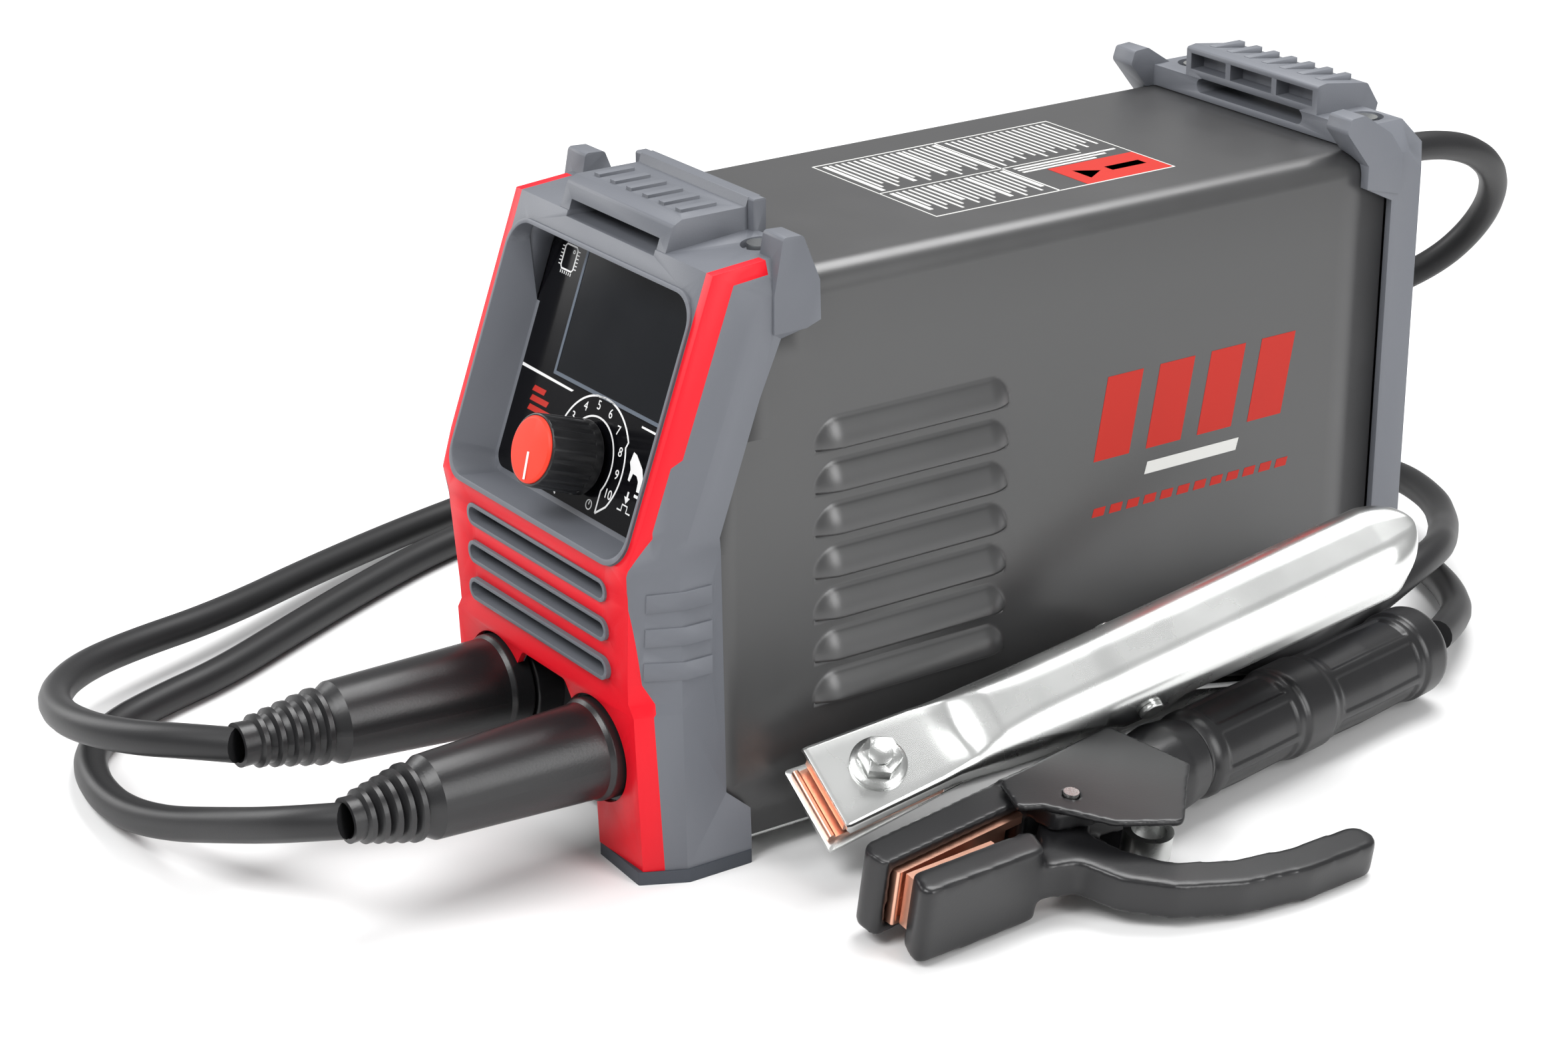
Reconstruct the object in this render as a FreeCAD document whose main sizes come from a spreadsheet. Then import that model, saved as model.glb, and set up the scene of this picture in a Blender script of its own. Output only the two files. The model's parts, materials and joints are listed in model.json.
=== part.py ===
"""Stick welding inverter: machine, electrode holder, earth clamp and their cables.

Row frame: millimetres, origin on the floor under the middle of the machine, +Z up,
+X to the machine's right seen from behind the panel, -Y towards the control panel.
"""

import FreeCAD
import Part
import math
import os

Vector = FreeCAD.Vector
Matrix = FreeCAD.Matrix
Placement = FreeCAD.Placement
Rotation = FreeCAD.Rotation

X_AXIS = Vector(1, 0, 0)
Y_AXIS = Vector(0, 1, 0)
Z_AXIS = Vector(0, 0, 1)
BOTH_SIDES = (-1, 1)

DIMENSIONS = [
    ("frame_half_width", 59.5, "half width over the plastic end frames"),
    ("front_half_width", 56.2, "half width of the front face between its chamfers"),
    ("rear_half_width", 53.0, "half width of the rear face between its chamfers"),
    ("frame_wall", 2.4, "wall of the plastic end frames"),
    ("pad_height", 4.5, "height of the rubber foot pads"),
    ("cover_half_width", 57.0, "half width over the sheet metal cover"),
    ("cover_top", 190.0, "height of the cover's top"),
    ("cover_bend", 8.2, "outer radius of the cover's two bends"),
    ("cover_length", 276.0, "length of the cover"),
    ("cover_middle", -2.0, "place of the cover's middle along Y"),
    ("sheet_thickness", 1.2, "cover and base sheet"),
    ("louvre_count", 7, "louvres in each side"),
    ("louvre_pitch", 14.19, "distance between louvres"),
    ("louvre_low", 47.3, "height of the lowest louvre's open edge"),
    ("louvre_length", 76.0, "length of one louvre"),
    ("louvre_middle", -61.7, "place of the louvres' middle along Y"),
    ("louvre_rise", 9.4, "height of one pressed hood"),
    ("louvre_depth", 3.0, "how far a hood stands out of the sheet"),
    ("panel_slope", 19.6, "lean of the control face from upright, degrees"),
    ("panel_bend_height", 106.0, "height where the control face starts to lean"),
    ("panel_bend_y", -163.5, "place of the sloped face there"),
    ("rim_out", 4.5, "how far the recess rim stands out of the sloped face"),
    ("panel_in", 7.5, "depth of the control panel behind the sloped face"),
    ("panel_half_width", 44.4, "half width of the glossy control panel"),
    ("panel_thickness", 2.0, "thickness of the glossy control panel"),
    ("knob_x", 5.0, "knob axis across the panel"),
    ("knob_along", 22.3, "knob axis along the panel's slope"),
    ("knob_radius", 12.0, "radius of the fluted knob"),
    ("knob_length", 19.0, "length of the fluted skirt"),
    ("shaft_radius", 3.0, "radius of the encoder shaft"),
    ("grille_half_width", 41.5, "half width of a front grille slot"),
    ("grille_height", 7.6, "height of a front grille slot"),
    ("grille_low", 69.6, "height of the lowest grille slot"),
    ("grille_pitch", 13.0, "distance between grille slots"),
    ("socket_spread", 29.5, "each weld socket's distance from the middle"),
    ("socket_height", 38.5, "height of the weld sockets"),
    ("socket_cutout", 17.8, "radius of the openings round the plugs"),
    ("boot_radius", 16.6, "radius of a plug's flange"),
    ("weld_cable_radius", 5.65, "radius of the two weld cables"),
    ("mains_cable_radius", 5.3, "radius of the mains cable"),
    ("fan_size", 92.0, "side of the square fan"),
    ("fan_depth", 25.0, "depth of the fan"),
    ("fan_height", 84.0, "height of the fan's axis"),
    ("gland_height", 165.0, "height of the mains cable's gland"),
    ("gland_length", 30.35, "length of the mains cable's gland"),
    ("grip_radius", 16.3, "radius of the electrode holder's grip"),
    ("clamp_half_width", 13.4, "half width of the earth clamp's neck"),
    ("clamp_sheet", 1.8, "sheet of the earth clamp's arms"),
    ("clamp_stack", 14.6, "height over the closed clamp's two jaw plates"),
    ("coil_radius", 66.0, "outer radius of the mains cable's coil"),
    ("coil_hollow", 44.0, "inner radius of the mains cable's coil"),
    ("coil_height", 31.0, "height of the mains cable's coil"),
]

document = FreeCAD.newDocument("welding_inverter")
sizes = document.addObject("Spreadsheet::Sheet", "Sizes")
for row, (alias, number, meaning) in enumerate(DIMENSIONS, start=1):
    sizes.set(f"A{row}", meaning)
    sizes.set(f"B{row}", str(number))
    sizes.setAlias(f"B{row}", alias)
document.recompute()

pieces = []


def size(alias):
    """A driving dimension as a plain number."""
    return float(sizes.get(alias))


def bind(item, **properties):
    """Give an object's properties numbers, or expressions on the sheet's cells."""
    for name, value in properties.items():
        if isinstance(value, str):
            item.setExpression(name, value)
        else:
            setattr(item, name, value)
    return item


def piece(label, item, place=None):
    """Register an object as a sub-part under its own label."""
    item.Label = label
    if place is not None:
        item.Placement = place
    pieces.append(item)
    return item


def at(x, y, z, rotation=None):
    return Placement(Vector(x, y, z), rotation or Rotation())


def turned(axis, degrees):
    return Rotation(axis, degrees)


def upright_yz(x=0.0):
    """A frame whose sketch plane is YZ, with its normal along +X."""
    return Placement(Vector(x, 0, 0), Rotation(Y_AXIS, Z_AXIS, X_AXIS, "XYZ"))


def upright_xz(y=0.0):
    """A frame whose sketch plane is XZ, with its normal along -Y."""
    return Placement(Vector(0, y, 0), Rotation(X_AXIS, 90))


# Plane geometry ------------------------------------------------------------------


def corners_of(points):
    """Closed outline through (x, y) or (x, y, corner radius) points."""
    count = len(points)
    ends = []
    for index, point in enumerate(points):
        here = Vector(point[0], point[1], 0)
        radius = point[2] if len(point) > 2 else 0.0
        if radius <= 0:
            ends.append((here, None, here))
            continue
        before = points[index - 1]
        after = points[(index + 1) % count]
        back = (Vector(before[0], before[1], 0) - here).normalize()
        ahead = (Vector(after[0], after[1], 0) - here).normalize()
        half = back.getAngle(ahead) / 2
        reach = radius / math.tan(half)
        centre = here + (back + ahead).normalize() * (radius / math.sin(half))
        middle = centre + (here - centre).normalize() * radius
        ends.append((here + back * reach, middle, here + ahead * reach))
    edges = []
    for index, (start, middle, end) in enumerate(ends):
        if middle is not None:
            edges.append(Part.ArcOfCircle(start, middle, end))
        following = ends[(index + 1) % count][0]
        if end.distanceToPoint(following) > 1e-6:
            edges.append(Part.LineSegment(end, following))
    return edges


def circle(x, y, radius):
    return [Part.Circle(Vector(x, y, 0), Z_AXIS, radius)]


def rectangle(x0, y0, x1, y1, radius=0.0):
    return corners_of([(x0, y0, radius), (x1, y0, radius), (x1, y1, radius), (x0, y1, radius)])


def sketch(name, loops, place):
    """A sketch of closed loops that stands alone in the document."""
    item = document.addObject("Sketcher::SketchObject", name + "_sketch")
    item.addGeometry([edge for loop in loops for edge in loop], False)
    item.Placement = place
    return item


def prism(name, loops, length, place=None, back=0.0):
    """Loops pushed along their plane's normal."""
    item = document.addObject("Part::Extrusion", name)
    item.Base = sketch(name, loops, place or Placement())
    item.DirMode = "Normal"
    item.Solid = True
    return bind(item, LengthFwd=length, LengthRev=back)


def loft(name, sketches):
    item = document.addObject("Part::Loft", name)
    item.Sections = sketches
    item.Solid = True
    item.Ruled = True
    return item


def turned_solid(name, points, place=None):
    """Half outline (radius, height) turned round its own Z axis."""
    item = document.addObject("Part::Revolution", name)
    plane = Placement(Vector(), Rotation(X_AXIS, 90))
    item.Source = sketch(name, [corners_of(points)], plane)
    item.Axis = Z_AXIS
    item.Base = Vector()
    item.Angle = 360
    item.Solid = True
    if place is not None:
        item.Placement = place
    return item


def cylinder(name, radius, height, place=None):
    item = document.addObject("Part::Cylinder", name)
    item.Placement = place or Placement()
    return bind(item, Radius=radius, Height=height)


def box(name, low, high):
    """A box between two corners."""
    item = document.addObject("Part::Box", name)
    item.Placement = at(*low)
    return bind(item, Length=high[0] - low[0], Width=high[1] - low[1], Height=high[2] - low[2])


def joined(name, items, kind="Part::MultiFuse"):
    item = document.addObject(kind, name)
    if kind == "Part::Compound":
        item.Links = items
    else:
        item.Shapes = items
    return item


def group(name, items):
    """Separate solids that share one node."""
    return joined(name, items, "Part::Compound")


def joined_in_turn(name, first, others):
    """The union of solids, taken one after another."""
    whole = first
    for index, other in enumerate(others):
        step = document.addObject("Part::Fuse", f"{name}_{index}")
        step.Base = whole
        step.Tool = other
        whole = step
    return whole


def without(name, base, tools):
    item = document.addObject("Part::Cut", name)
    item.Base = base
    item.Tool = tools[0] if len(tools) == 1 else joined(name + "_tools", tools)
    return item


def within(name, base, tool):
    item = document.addObject("Part::Common", name)
    item.Base = base
    item.Tool = tool
    return item


def origin_plane(body, role):
    return [item for item in body.Origin.OriginFeatures if item.Role == role][0]


def body_sketch(body, name, loops, role, offset=0.0):
    """A sketch on one of a body's own origin planes."""
    item = body.newObject("Sketcher::SketchObject", name)
    item.AttachmentSupport = (origin_plane(body, role), [""])
    item.MapMode = "FlatFace"
    item.AttachmentOffset = at(0, 0, offset)
    item.addGeometry([edge for loop in loops for edge in loop], False)
    return item


def pad(body, name, loops, role, length, offset=0.0, middle=True):
    drawing = body_sketch(body, name + "_sketch", loops, role, offset)
    item = body.newObject("PartDesign::Pad", name)
    item.Profile = drawing
    item.Midplane = middle
    bind(item, Length=length)
    drawing.Visibility = False
    return item


def pocket(body, name, loops, role, length, offset=0.0):
    """A cut to both sides of its plane."""
    drawing = body_sketch(body, name + "_sketch", loops, role, offset)
    item = body.newObject("PartDesign::Pocket", name)
    item.Profile = drawing
    item.Midplane = True
    bind(item, Length=length)
    return item


def new_body(name):
    return document.addObject("PartDesign::Body", name + "_body")


# Shared frames -------------------------------------------------------------------

SLOPE = math.radians(size("panel_slope"))
PANEL_FRAME = Placement(
    Vector(0, size("panel_bend_y"), size("panel_bend_height")),
    Rotation(X_AXIS, 90 - size("panel_slope")),
)
PANEL_SURFACE = -size("panel_in")


def on_panel(x, along, out, rotation=None):
    """Place in the sloped face's frame: across, up the slope, out of the face."""
    return PANEL_FRAME.multiply(at(x, along, out, rotation))


def direction_frame(origin, x_way, y_way):
    """A frame from its origin and two of its directions."""
    return Placement(origin, Rotation(x_way, y_way, x_way.cross(y_way), "XYZ"))


CLAMP_FRAME = direction_frame(
    Vector(81.5, -112.8, 31.4), Vector(0.820, -0.009, -0.572), Vector(0.159, 0.964, 0.213)
)
HOLDER_TILT = math.radians(8.6)
HOLDER_WAY = Vector(0.168, -0.986, 0).normalize()
LEVER_WAY = Vector(
    -HOLDER_WAY.y * math.cos(HOLDER_TILT), HOLDER_WAY.x * math.cos(HOLDER_TILT), -math.sin(HOLDER_TILT)
)
HOLDER_FRAME = direction_frame(Vector(86.0, 137.0, 17.3), HOLDER_WAY, LEVER_WAY)


# End frames ----------------------------------------------------------------------

# Outlines (y, z) of the front moulding: at the edge of the face, and at its sides.
FRONT_BACK_EDGE = [
    (-104, 174),
    (-113.9, 172.1),
    (-121.7, 154.4),
    (-136.5, 112.9),
    (-136.1, 108.7),
    (-134.7, 26.9),
    (-125.6, 19),
    (-125.1, 4.5),
]
FRONT_FACE = [(-162, 4.5), (-164.5, 58), (-166, 98), (-167.3, 107), (-136, 195), (-104, 197.5)]
FRONT_SIDE = [(-149.4, 4.5), (-150.5, 58), (-151, 98), (-150.6, 108), (-121, 186), (-104, 188)]

# Outlines (y, z) of the upright rear moulding.
REAR_FRONT_EDGE = [(124, 4.5), (124, 19), (137, 27), (137, 172), (124.5, 178), (124.5, 186)]
REAR_FACE = [(124.5, 197.5), (146, 197.5), (156, 188), (156, 4.5)]
REAR_SIDE = [(124.5, 188), (143, 188), (150, 181), (150, 4.5)]


def four_section_loft(name, face, side, half_face, half_side):
    """A moulding between the sides' outline and the wider one of its face."""
    sections = []
    for x, outline in ((-half_side, side), (-half_face, face), (half_face, face), (half_side, side)):
        sections.append(sketch(name, [corners_of(outline)], upright_yz(x)))
    return loft(name, sections)


def moved(outline, along_y, along_z=0.0):
    return [(y + along_y, z + along_z) for y, z in outline]


def cover_envelope(name, y0, y1):
    """The room that the sheet metal cover takes between the end frames."""
    half = size("cover_half_width") + 0.1
    top = size("cover_top") + 0.1
    bend = size("cover_bend")
    outline = corners_of([(-half, -5), (half, -5), (half, top, bend), (-half, top, bend)])
    return prism(name, [outline], y1 - y0, upright_xz(y1))


def ear(name, outline):
    """The pair of upright horns on an end frame's top corners."""
    horns = []
    for side in BOTH_SIDES:
        start = 50.0 if side > 0 else -60.5
        horns.append(
            prism(
                f"{name}_{'left' if side < 0 else 'right'}",
                [corners_of(outline)],
                10.5,
                upright_yz(start),
            ),
        )
    return horns


def depth_at(outline, z):
    """Where an outline (y, z) that climbs is at a height."""
    for (y0, z0), (y1, z1) in zip(outline, outline[1:]):
        if z <= z1:
            return y0 + (y1 - y0) * (z - z0) / (z1 - z0)
    return outline[-1][0]


def waist_tools(name, inset):
    """Wedges that narrow the front face below the control panel, towards the legs."""
    sections = [
        (-4, 53.4),
        (57.5, 53.4),
        (61.5, 50.6),
        (68, 50.8),
        (98, 53.9),
        (107.5, 55.0),
        (119, 56.2),
        (125, 57.2),
    ]
    far = 75.0
    tools = []
    for side in BOTH_SIDES:
        drawings = []
        for z, half in sections:
            near = Vector(half - inset, depth_at(FRONT_FACE, z), 0)
            back = Vector(size("frame_half_width") + 0.02 - inset * 0.5, depth_at(FRONT_SIDE, z), 0)
            step = (back - near).normalize() * 14.0
            points = [near - step, back + step, Vector(far, -136 - 14, 0), Vector(far, -190, 0)]
            outline = [(side * point.x, point.y) for point in points]
            if side < 0:
                outline.reverse()
            drawings.append(sketch(f"{name}_{side + 1}_{int(z)}", [corners_of(outline)], at(0, 0, z)))
        tools.append(loft(f"{name}_{side + 1}", drawings))
    return tools


def make_front_frame():
    wall = size("frame_wall")
    half_face = size("front_half_width")
    half_side = size("frame_half_width")
    outer = four_section_loft(
        "front_outer",
        FRONT_FACE + FRONT_BACK_EDGE,
        FRONT_SIDE + FRONT_BACK_EDGE,
        half_face,
        half_side,
    )

    inner_back = [(-90, 191), (-90, 2)]
    inner_face = [(-159.4, 2), (-161.8, 58), (-163.2, 98), (-164.2, 107.5), (-135.4, 191)]
    inner_side = [(-148.4, 2), (-149.2, 58), (-149.7, 98), (-149.3, 109), (-120, 191)]
    inner = four_section_loft(
        "front_inner",
        inner_face + inner_back,
        inner_side + inner_back,
        48.6,
        half_side - wall,
    )

    ears = ear(
        "front_ear",
        [
            (-117, 186),
            (-113.7, 203.8, 1.5),
            (-106.5, 203.4, 1.5),
            (-100.3, 188.5),
            (-99.9, 175.9),
            (-105.2, 174),
            (-117, 174),
        ],
    )
    bracket = prism(
        "front_bracket",
        [
            corners_of(
                [
                    (-138.4, 187),
                    (-132.8, 203.0, 2),
                    (-129.5, 204.6),
                    (-106.4, 204.6),
                    (-105.4, 207.4),
                    (-101, 207.4),
                    (-101, 190),
                    (-106, 187),
                ],
            ),
        ],
        60,
        upright_yz(-30),
    )
    ridge = prism(
        "front_ridge",
        [corners_of([(-105.6, 196), (-105.6, 207.4, 0.8), (-101, 207.4, 0.8), (-101, 196)])],
        66,
        upright_yz(-33),
    )
    ticks = []
    for index in range(6):
        x = -23.5 + 9.2 * index
        ticks.append(box(f"bracket_tick_{index}", (x - 1.5, -126, 204), (x + 1.5, -113, 205.6)))

    # The recess that frames the control panel: a tapered well with a wall of its own.
    rim = size("rim_out")
    depth = size("panel_in")
    lip = loft(
        "recess_lip",
        [
            sketch("lip_front", [rectangle(-52.6, -1.4, 52.6, 85.6, 10)], on_panel(0, 0, rim + 0.4)),
            sketch("lip_back", [rectangle(-46.9, 1.8, 46.9, 88.4, 7)], on_panel(0, 0, -depth - 3.2)),
        ],
    )
    well = loft(
        "recess_well",
        [
            sketch("well_front", [rectangle(-51.6, 0.2, 51.6, 84.2, 9.5)], on_panel(0, 0, rim + 0.6)),
            sketch("well_back", [rectangle(-44.9, 4.1, 44.9, 86.2, 6)], on_panel(0, 0, -depth + 0.01)),
        ],
    )
    panel_hole = prism(
        "panel_hole",
        [rectangle(-43.2, 5.8, 43.2, 84.6, 5)],
        20,
        on_panel(0, 0, -depth - 12),
    )
    panel_seat = prism(
        "panel_seat",
        [rectangle(-44.5, 4.5, 44.5, 85.8, 5.6)],
        2.05,
        on_panel(0, 0, -depth - 2.05),
    )

    shell = without("front_shell", outer, [inner] + waist_tools("front_waist", 0.0))
    solid = joined("front_solid", [shell, lip, bracket, ridge] + ears + ticks)
    cavity = [well, panel_hole, panel_seat]
    cavity.append(box("strap_slot", (-25, -150, 193.2), (25, -90, 198.4)))
    cavity.append(cover_envelope("front_cover_room", -136.2, -80))
    cavity += plug_openings("front_plug", -175, -140)
    for index in range(3):
        z = size("grille_low") + index * size("grille_pitch")
        half = size("grille_half_width") - 1.3
        high = size("grille_height") / 2 - 1.3
        cavity.append(
            prism(
                f"front_vent_{index}",
                [rectangle(-half, z - high, half, z + high, high * 0.98)],
                30,
                upright_xz(-150),
            ),
        )
    for side in BOTH_SIDES:
        cavity.append(cylinder(f"front_screw_well_{side + 1}", 6.2, 8, at(side * 43, -110, 194.5)))
    frame = without("front_frame_body", solid, cavity)

    # Grille rims stand through the red bezel, and ribs make a grip on each side.
    rims = []
    for index in range(3):
        z = size("grille_low") + index * size("grille_pitch")
        half = size("grille_half_width")
        high = size("grille_height") / 2
        rims.append(
            prism(
                f"vent_rim_{index}",
                [
                    rectangle(-half, z - high, half, z + high, high * 0.98),
                    rectangle(-half + 1.3, z - high + 1.3, half - 1.3, z + high - 1.3, (high - 1.3) * 0.98),
                ],
                6.4,
                upright_xz(-160.2),
            )
        )
    raised = four_section_loft(
        "grip_skin", moved(
            FRONT_FACE,
            -0.6,
        ) + FRONT_BACK_EDGE, moved(FRONT_SIDE, -0.6) + FRONT_BACK_EDGE, half_face + 0.5, half_side + 0.9
    )
    slabs = []
    for side in BOTH_SIDES:
        for index in range(3):
            z = 69.5 + index * 11.6
            low = (53.6, -161, z) if side > 0 else (-61, -161, z)
            high = (61, -140, z + 6) if side > 0 else (-53.6, -140, z + 6)
            slabs.append(box(f"grip_slab_{side + 1}_{index}", low, high))
    ribs = within("grip_ribs", raised, joined("grip_slabs", slabs))
    hollow_ribs = without(
        "grip_rib_faces",
        ribs,
        [document.getObject("front_inner")] + waist_tools("grip_waist", -0.7),
    )
    bezel_room = bezel_solid("bezel_room")
    ready = without("front_frame_cleared", frame, [bezel_room])
    piece("front_frame", joined("front_frame_joined", [ready, hollow_ribs] + rims))


def plug_openings(name, y0, y1):
    """Round cut-outs for the plugs, open to the floor between the legs."""
    spread = size("socket_spread")
    height = size("socket_height")
    radius = size("socket_cutout")
    outline = corners_of([(-28, -6), (28, -6), (28, 34, 4), (12.8, 56, 3), (-12.8, 56, 3), (-28, 34, 4)])
    tools = [prism(f"{name}_middle", [outline], y1 - y0, upright_xz(y1))]
    for side in BOTH_SIDES:
        tools.append(
            prism(
                f"{name}_round_{side + 1}",
                [circle(side * spread, height, radius)],
                y1 - y0,
                upright_xz(y1),
            ),
        )
    return tools


def bezel_solid(name):
    """The red moulding's solid: a skin on the face and on the chamfers beside it."""
    half_face = size("front_half_width")
    half_side = size("frame_half_width")
    outer = four_section_loft(
        f"{name}_outer",
        FRONT_FACE + FRONT_BACK_EDGE,
        FRONT_SIDE + FRONT_BACK_EDGE,
        half_face,
        half_side,
    )
    back_face = [(-159.8, 0), (-162.2, 58), (-163.6, 98), (-164.7, 108), (-134.4, 193.2), (-100, 195.6)]
    back_side = [(-148.9, 0), (-149.8, 58), (-150.3, 98), (-149.9, 109), (-120.2, 184.4), (-100, 186.4)]
    closing = [(-90, 186), (-90, 0)]
    block = four_section_loft(
        f"{name}_block",
        back_face + closing,
        back_side + closing,
        half_face - 1.1,
        half_side - 1.6,
    )
    core = without(f"{name}_core", block, waist_tools(f"{name}_core_waist", 1.4))
    skin = without(f"{name}_skin", outer, [core] + waist_tools(f"{name}_waist", 0.0))

    border = [
        (57.6, 200),
        (57.6, 140),
        (57.0, 138),
        (57.0, 117),
        (53.6, 100),
        (53.1, 68),
        (55.9, 58.5),
        (56.4, 4.5),
    ]
    outline = [(-x, z) for x, z in reversed(border)] + border
    outline = outline[: len(border)] + border
    face = prism(f"{name}_front", [corners_of(outline)], 70, upright_xz(-109))
    shaped = within(f"{name}_shape", skin, face)

    recess = prism(
        f"{name}_recess",
        [corners_of([(-52.7, -1.5, 10), (52.7, -1.5, 10), (52.7, 130), (-52.7, 130)])],
        60,
        on_panel(0, 0, -30),
    )
    top = box(f"{name}_top", (-50.2, -175, 186), (50.2, -90, 215))
    tools = [recess, top] + plug_openings(f"{name}_plug", -175, -140)
    for index in range(3):
        z = size("grille_low") + index * size("grille_pitch")
        half = size("grille_half_width")
        high = size("grille_height") / 2
        tools.append(
            prism(
                f"{name}_vent_{index}",
                [rectangle(-half, z - high, half, z + high, high * 0.98)],
                30,
                upright_xz(-150),
            ),
        )
    tools.append(box(f"{name}_ears", (-70, -117.2, 170), (70, -90, 210)))
    return without(name, shaped, tools)


def make_rear_frame():
    half_face = size("rear_half_width")
    half_side = size("frame_half_width")
    outer = four_section_loft(
        "rear_outer",
        list(reversed(REAR_FACE)) + list(reversed(REAR_FRONT_EDGE)),
        list(reversed(REAR_SIDE)) + list(reversed(REAR_FRONT_EDGE)),
        half_face,
        half_side,
    )
    opening = prism("rear_opening", [rectangle(-50, 12, 50, 184, 8)], 60, upright_xz(190))
    inner = prism(
        "rear_inner",
        [corners_of([(-57.1, -5), (57.1, -5), (57.1, 182), (49, 190.2), (-49, 190.2), (-57.1, 182)])],
        34,
        upright_xz(149.4),
    )
    ears = ear(
        "rear_ear",
        [
            (124.5, 178),
            (124.5, 186),
            (113.8, 199, 2),
            (115.4, 203.6, 1.2),
            (121.5, 204, 1.5),
            (134, 196),
            (140, 188),
            (140, 174),
        ],
    )
    bracket = prism(
        "rear_bracket",
        [
            corners_of(
                [(125, 189), (125, 207.4, 1), (129, 208), (148, 205.4, 2), (153.4, 197.5), (151, 189)],
            ),
        ],
        67,
        upright_yz(-33.5),
    )
    ticks = []
    for index in range(7):
        x = -27 + 9 * index
        ticks.append(box(f"rear_tick_{index}", (x - 1.5, 131, 206), (x + 1.5, 145, 207.9)))
    solid = joined("rear_solid", [outer, bracket] + ears + ticks)
    cavity = [opening, inner, cover_envelope("rear_cover_room", 100, 136.2)]
    cavity.append(prism("rear_strap_slot", [rectangle(-27, 192.6, 27, 197.6, 2.4)], 60, upright_xz(170)))
    for x0, x1 in ((-31, -13), (-10.5, 10.5), (13, 31)):
        cavity.append(box(f"rear_pocket_{int(x0)}", (x0, 120, 200), (x1, 131, 205.6)))
    for side in BOTH_SIDES:
        cavity.append(cylinder(f"rear_screw_well_{side + 1}", 6.2, 8, at(side * 43.5, 138, 194.5)))
    piece("rear_frame", without("rear_frame_body", solid, cavity))


def make_foot_pads():
    """Rubber pads under the corners of the two end frames."""
    front = [(27.2, -161.6, 1), (53, -163.4, 1), (60.2, -149, 1), (60.2, -125.2, 1), (27.2, -125.2, 1)]
    rear = [(27.2, 157, 1), (53, 157, 1), (60.2, 149, 1), (60.2, 124.2, 1), (27.2, 124.2, 1)]
    pads = []
    for name, outline in (("front_foot", front), ("rear_foot", rear)):
        for side in BOTH_SIDES:
            mirrored = [(side * x, y, radius) for x, y, radius in outline]
            body = new_body(f"{name}_{side + 1}")
            pad(
                body,
                f"{name}_pad_{side + 1}",
                [corners_of(mirrored)],
                "XY_Plane",
                "Sizes.pad_height",
                middle=False,
            )
            pads.append(body)
    piece("foot_pads", group("foot_pads", pads))


# Sheet metal ---------------------------------------------------------------------


def louvre_heights():
    first = size("louvre_low")
    return [first + index * size("louvre_pitch") for index in range(int(size("louvre_count")))]


def make_cover():
    half = size("cover_half_width")
    top = size("cover_top")
    bend = size("cover_bend")
    sheet = size("sheet_thickness")
    rise = size("louvre_rise")
    depth = size("louvre_depth")
    middle = size("cover_middle")
    foot = 8.0
    body = new_body("cover")
    outline = corners_of(
        [
            (-half, foot),
            (-half, top, bend),
            (half, top, bend),
            (half, foot),
            (half - sheet, foot),
            (half - sheet, top - sheet, bend - sheet),
            (-half + sheet, top - sheet, bend - sheet),
            (-half + sheet, foot),
        ]
    )
    pad(body, "cover_sheet", [outline], "XZ_Plane", "Sizes.cover_length")
    shift = -(size("louvre_middle") - middle)
    hoods = []
    hollows = []
    for height in louvre_heights():
        for side in BOTH_SIDES:
            wall = side * (half - 0.6)
            hoods.append(
                corners_of(
                    [
                        (wall, height + rise),
                        (side * half, height + rise),
                        (side * (half + depth), height + 1.5),
                        (side * (half + depth), height),
                        (wall, height),
                    ],
                ),
            )
            tip = side * (half + depth - 1.1)
            inside = side * (half - 3)
            hollows.append(
                corners_of(
                    [
                        (inside, height + rise - 2.2),
                        (side * (half - 0.5), height + rise - 2.2),
                        (tip, height + 0.9),
                        (tip, height - 0.5),
                        (inside, height - 0.5),
                    ],
                ),
            )
    pad(body, "louvre_hoods", hoods, "XZ_Plane", "Sizes.louvre_length", shift)
    pocket(body, "louvre_hollows", hollows, "XZ_Plane", "Sizes.louvre_length - 2.6", shift)
    slope = [(-150, 112), (-138, 112), (-109, 195), (-150, 195)]
    local = [(y - middle, z) for y, z in slope]
    pocket(body, "cover_front_slope", [corners_of(local)], "YZ_Plane", 200)
    body.Placement = at(0, middle, 0)
    piece("cover", body)


def make_base_plate():
    half = size("cover_half_width") - size("sheet_thickness") - 0.3
    sheet = size("sheet_thickness")
    floor = 5.2
    body = new_body("base_plate")
    outline = corners_of(
        [
            (-half, floor + 14),
            (-half, floor, 2),
            (half, floor, 2),
            (half, floor + 14),
            (half - sheet, floor + 14),
            (half - sheet, floor + sheet, 0.8),
            (-half + sheet, floor + sheet, 0.8),
            (-half + sheet, floor + 14),
        ]
    )
    pad(body, "base_sheet", [outline], "XZ_Plane", 258)
    body.Placement = at(0, 6, 0)
    piece("base_plate", body)


def make_rear_panel():
    body = new_body("rear_panel")
    outline = rectangle(-56, 7, 56, 181, 6)
    fan = circle(0, size("fan_height"), 41)
    gland = circle(0, size("gland_height"), 8.6)
    switch = rectangle(-45, 154, -25, 176)
    pad(body, "rear_sheet", [outline, fan, gland, switch], "XZ_Plane", 2.0)
    body.Placement = at(0, 146.4, 0)
    piece("rear_panel", body)


# Front electrics -----------------------------------------------------------------


def make_socket_panel():
    body = new_body("socket_panel")
    spread = size("socket_spread")
    height = size("socket_height")
    holes = [circle(side * spread, height, 13.1) for side in BOTH_SIDES]
    pad(body, "socket_sheet", [rectangle(-55.5, 7, 55.5, 63, 3)] + holes, "XZ_Plane", 3.0)
    body.Placement = at(0, -147.2, 0)
    piece("socket_panel", body)


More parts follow.
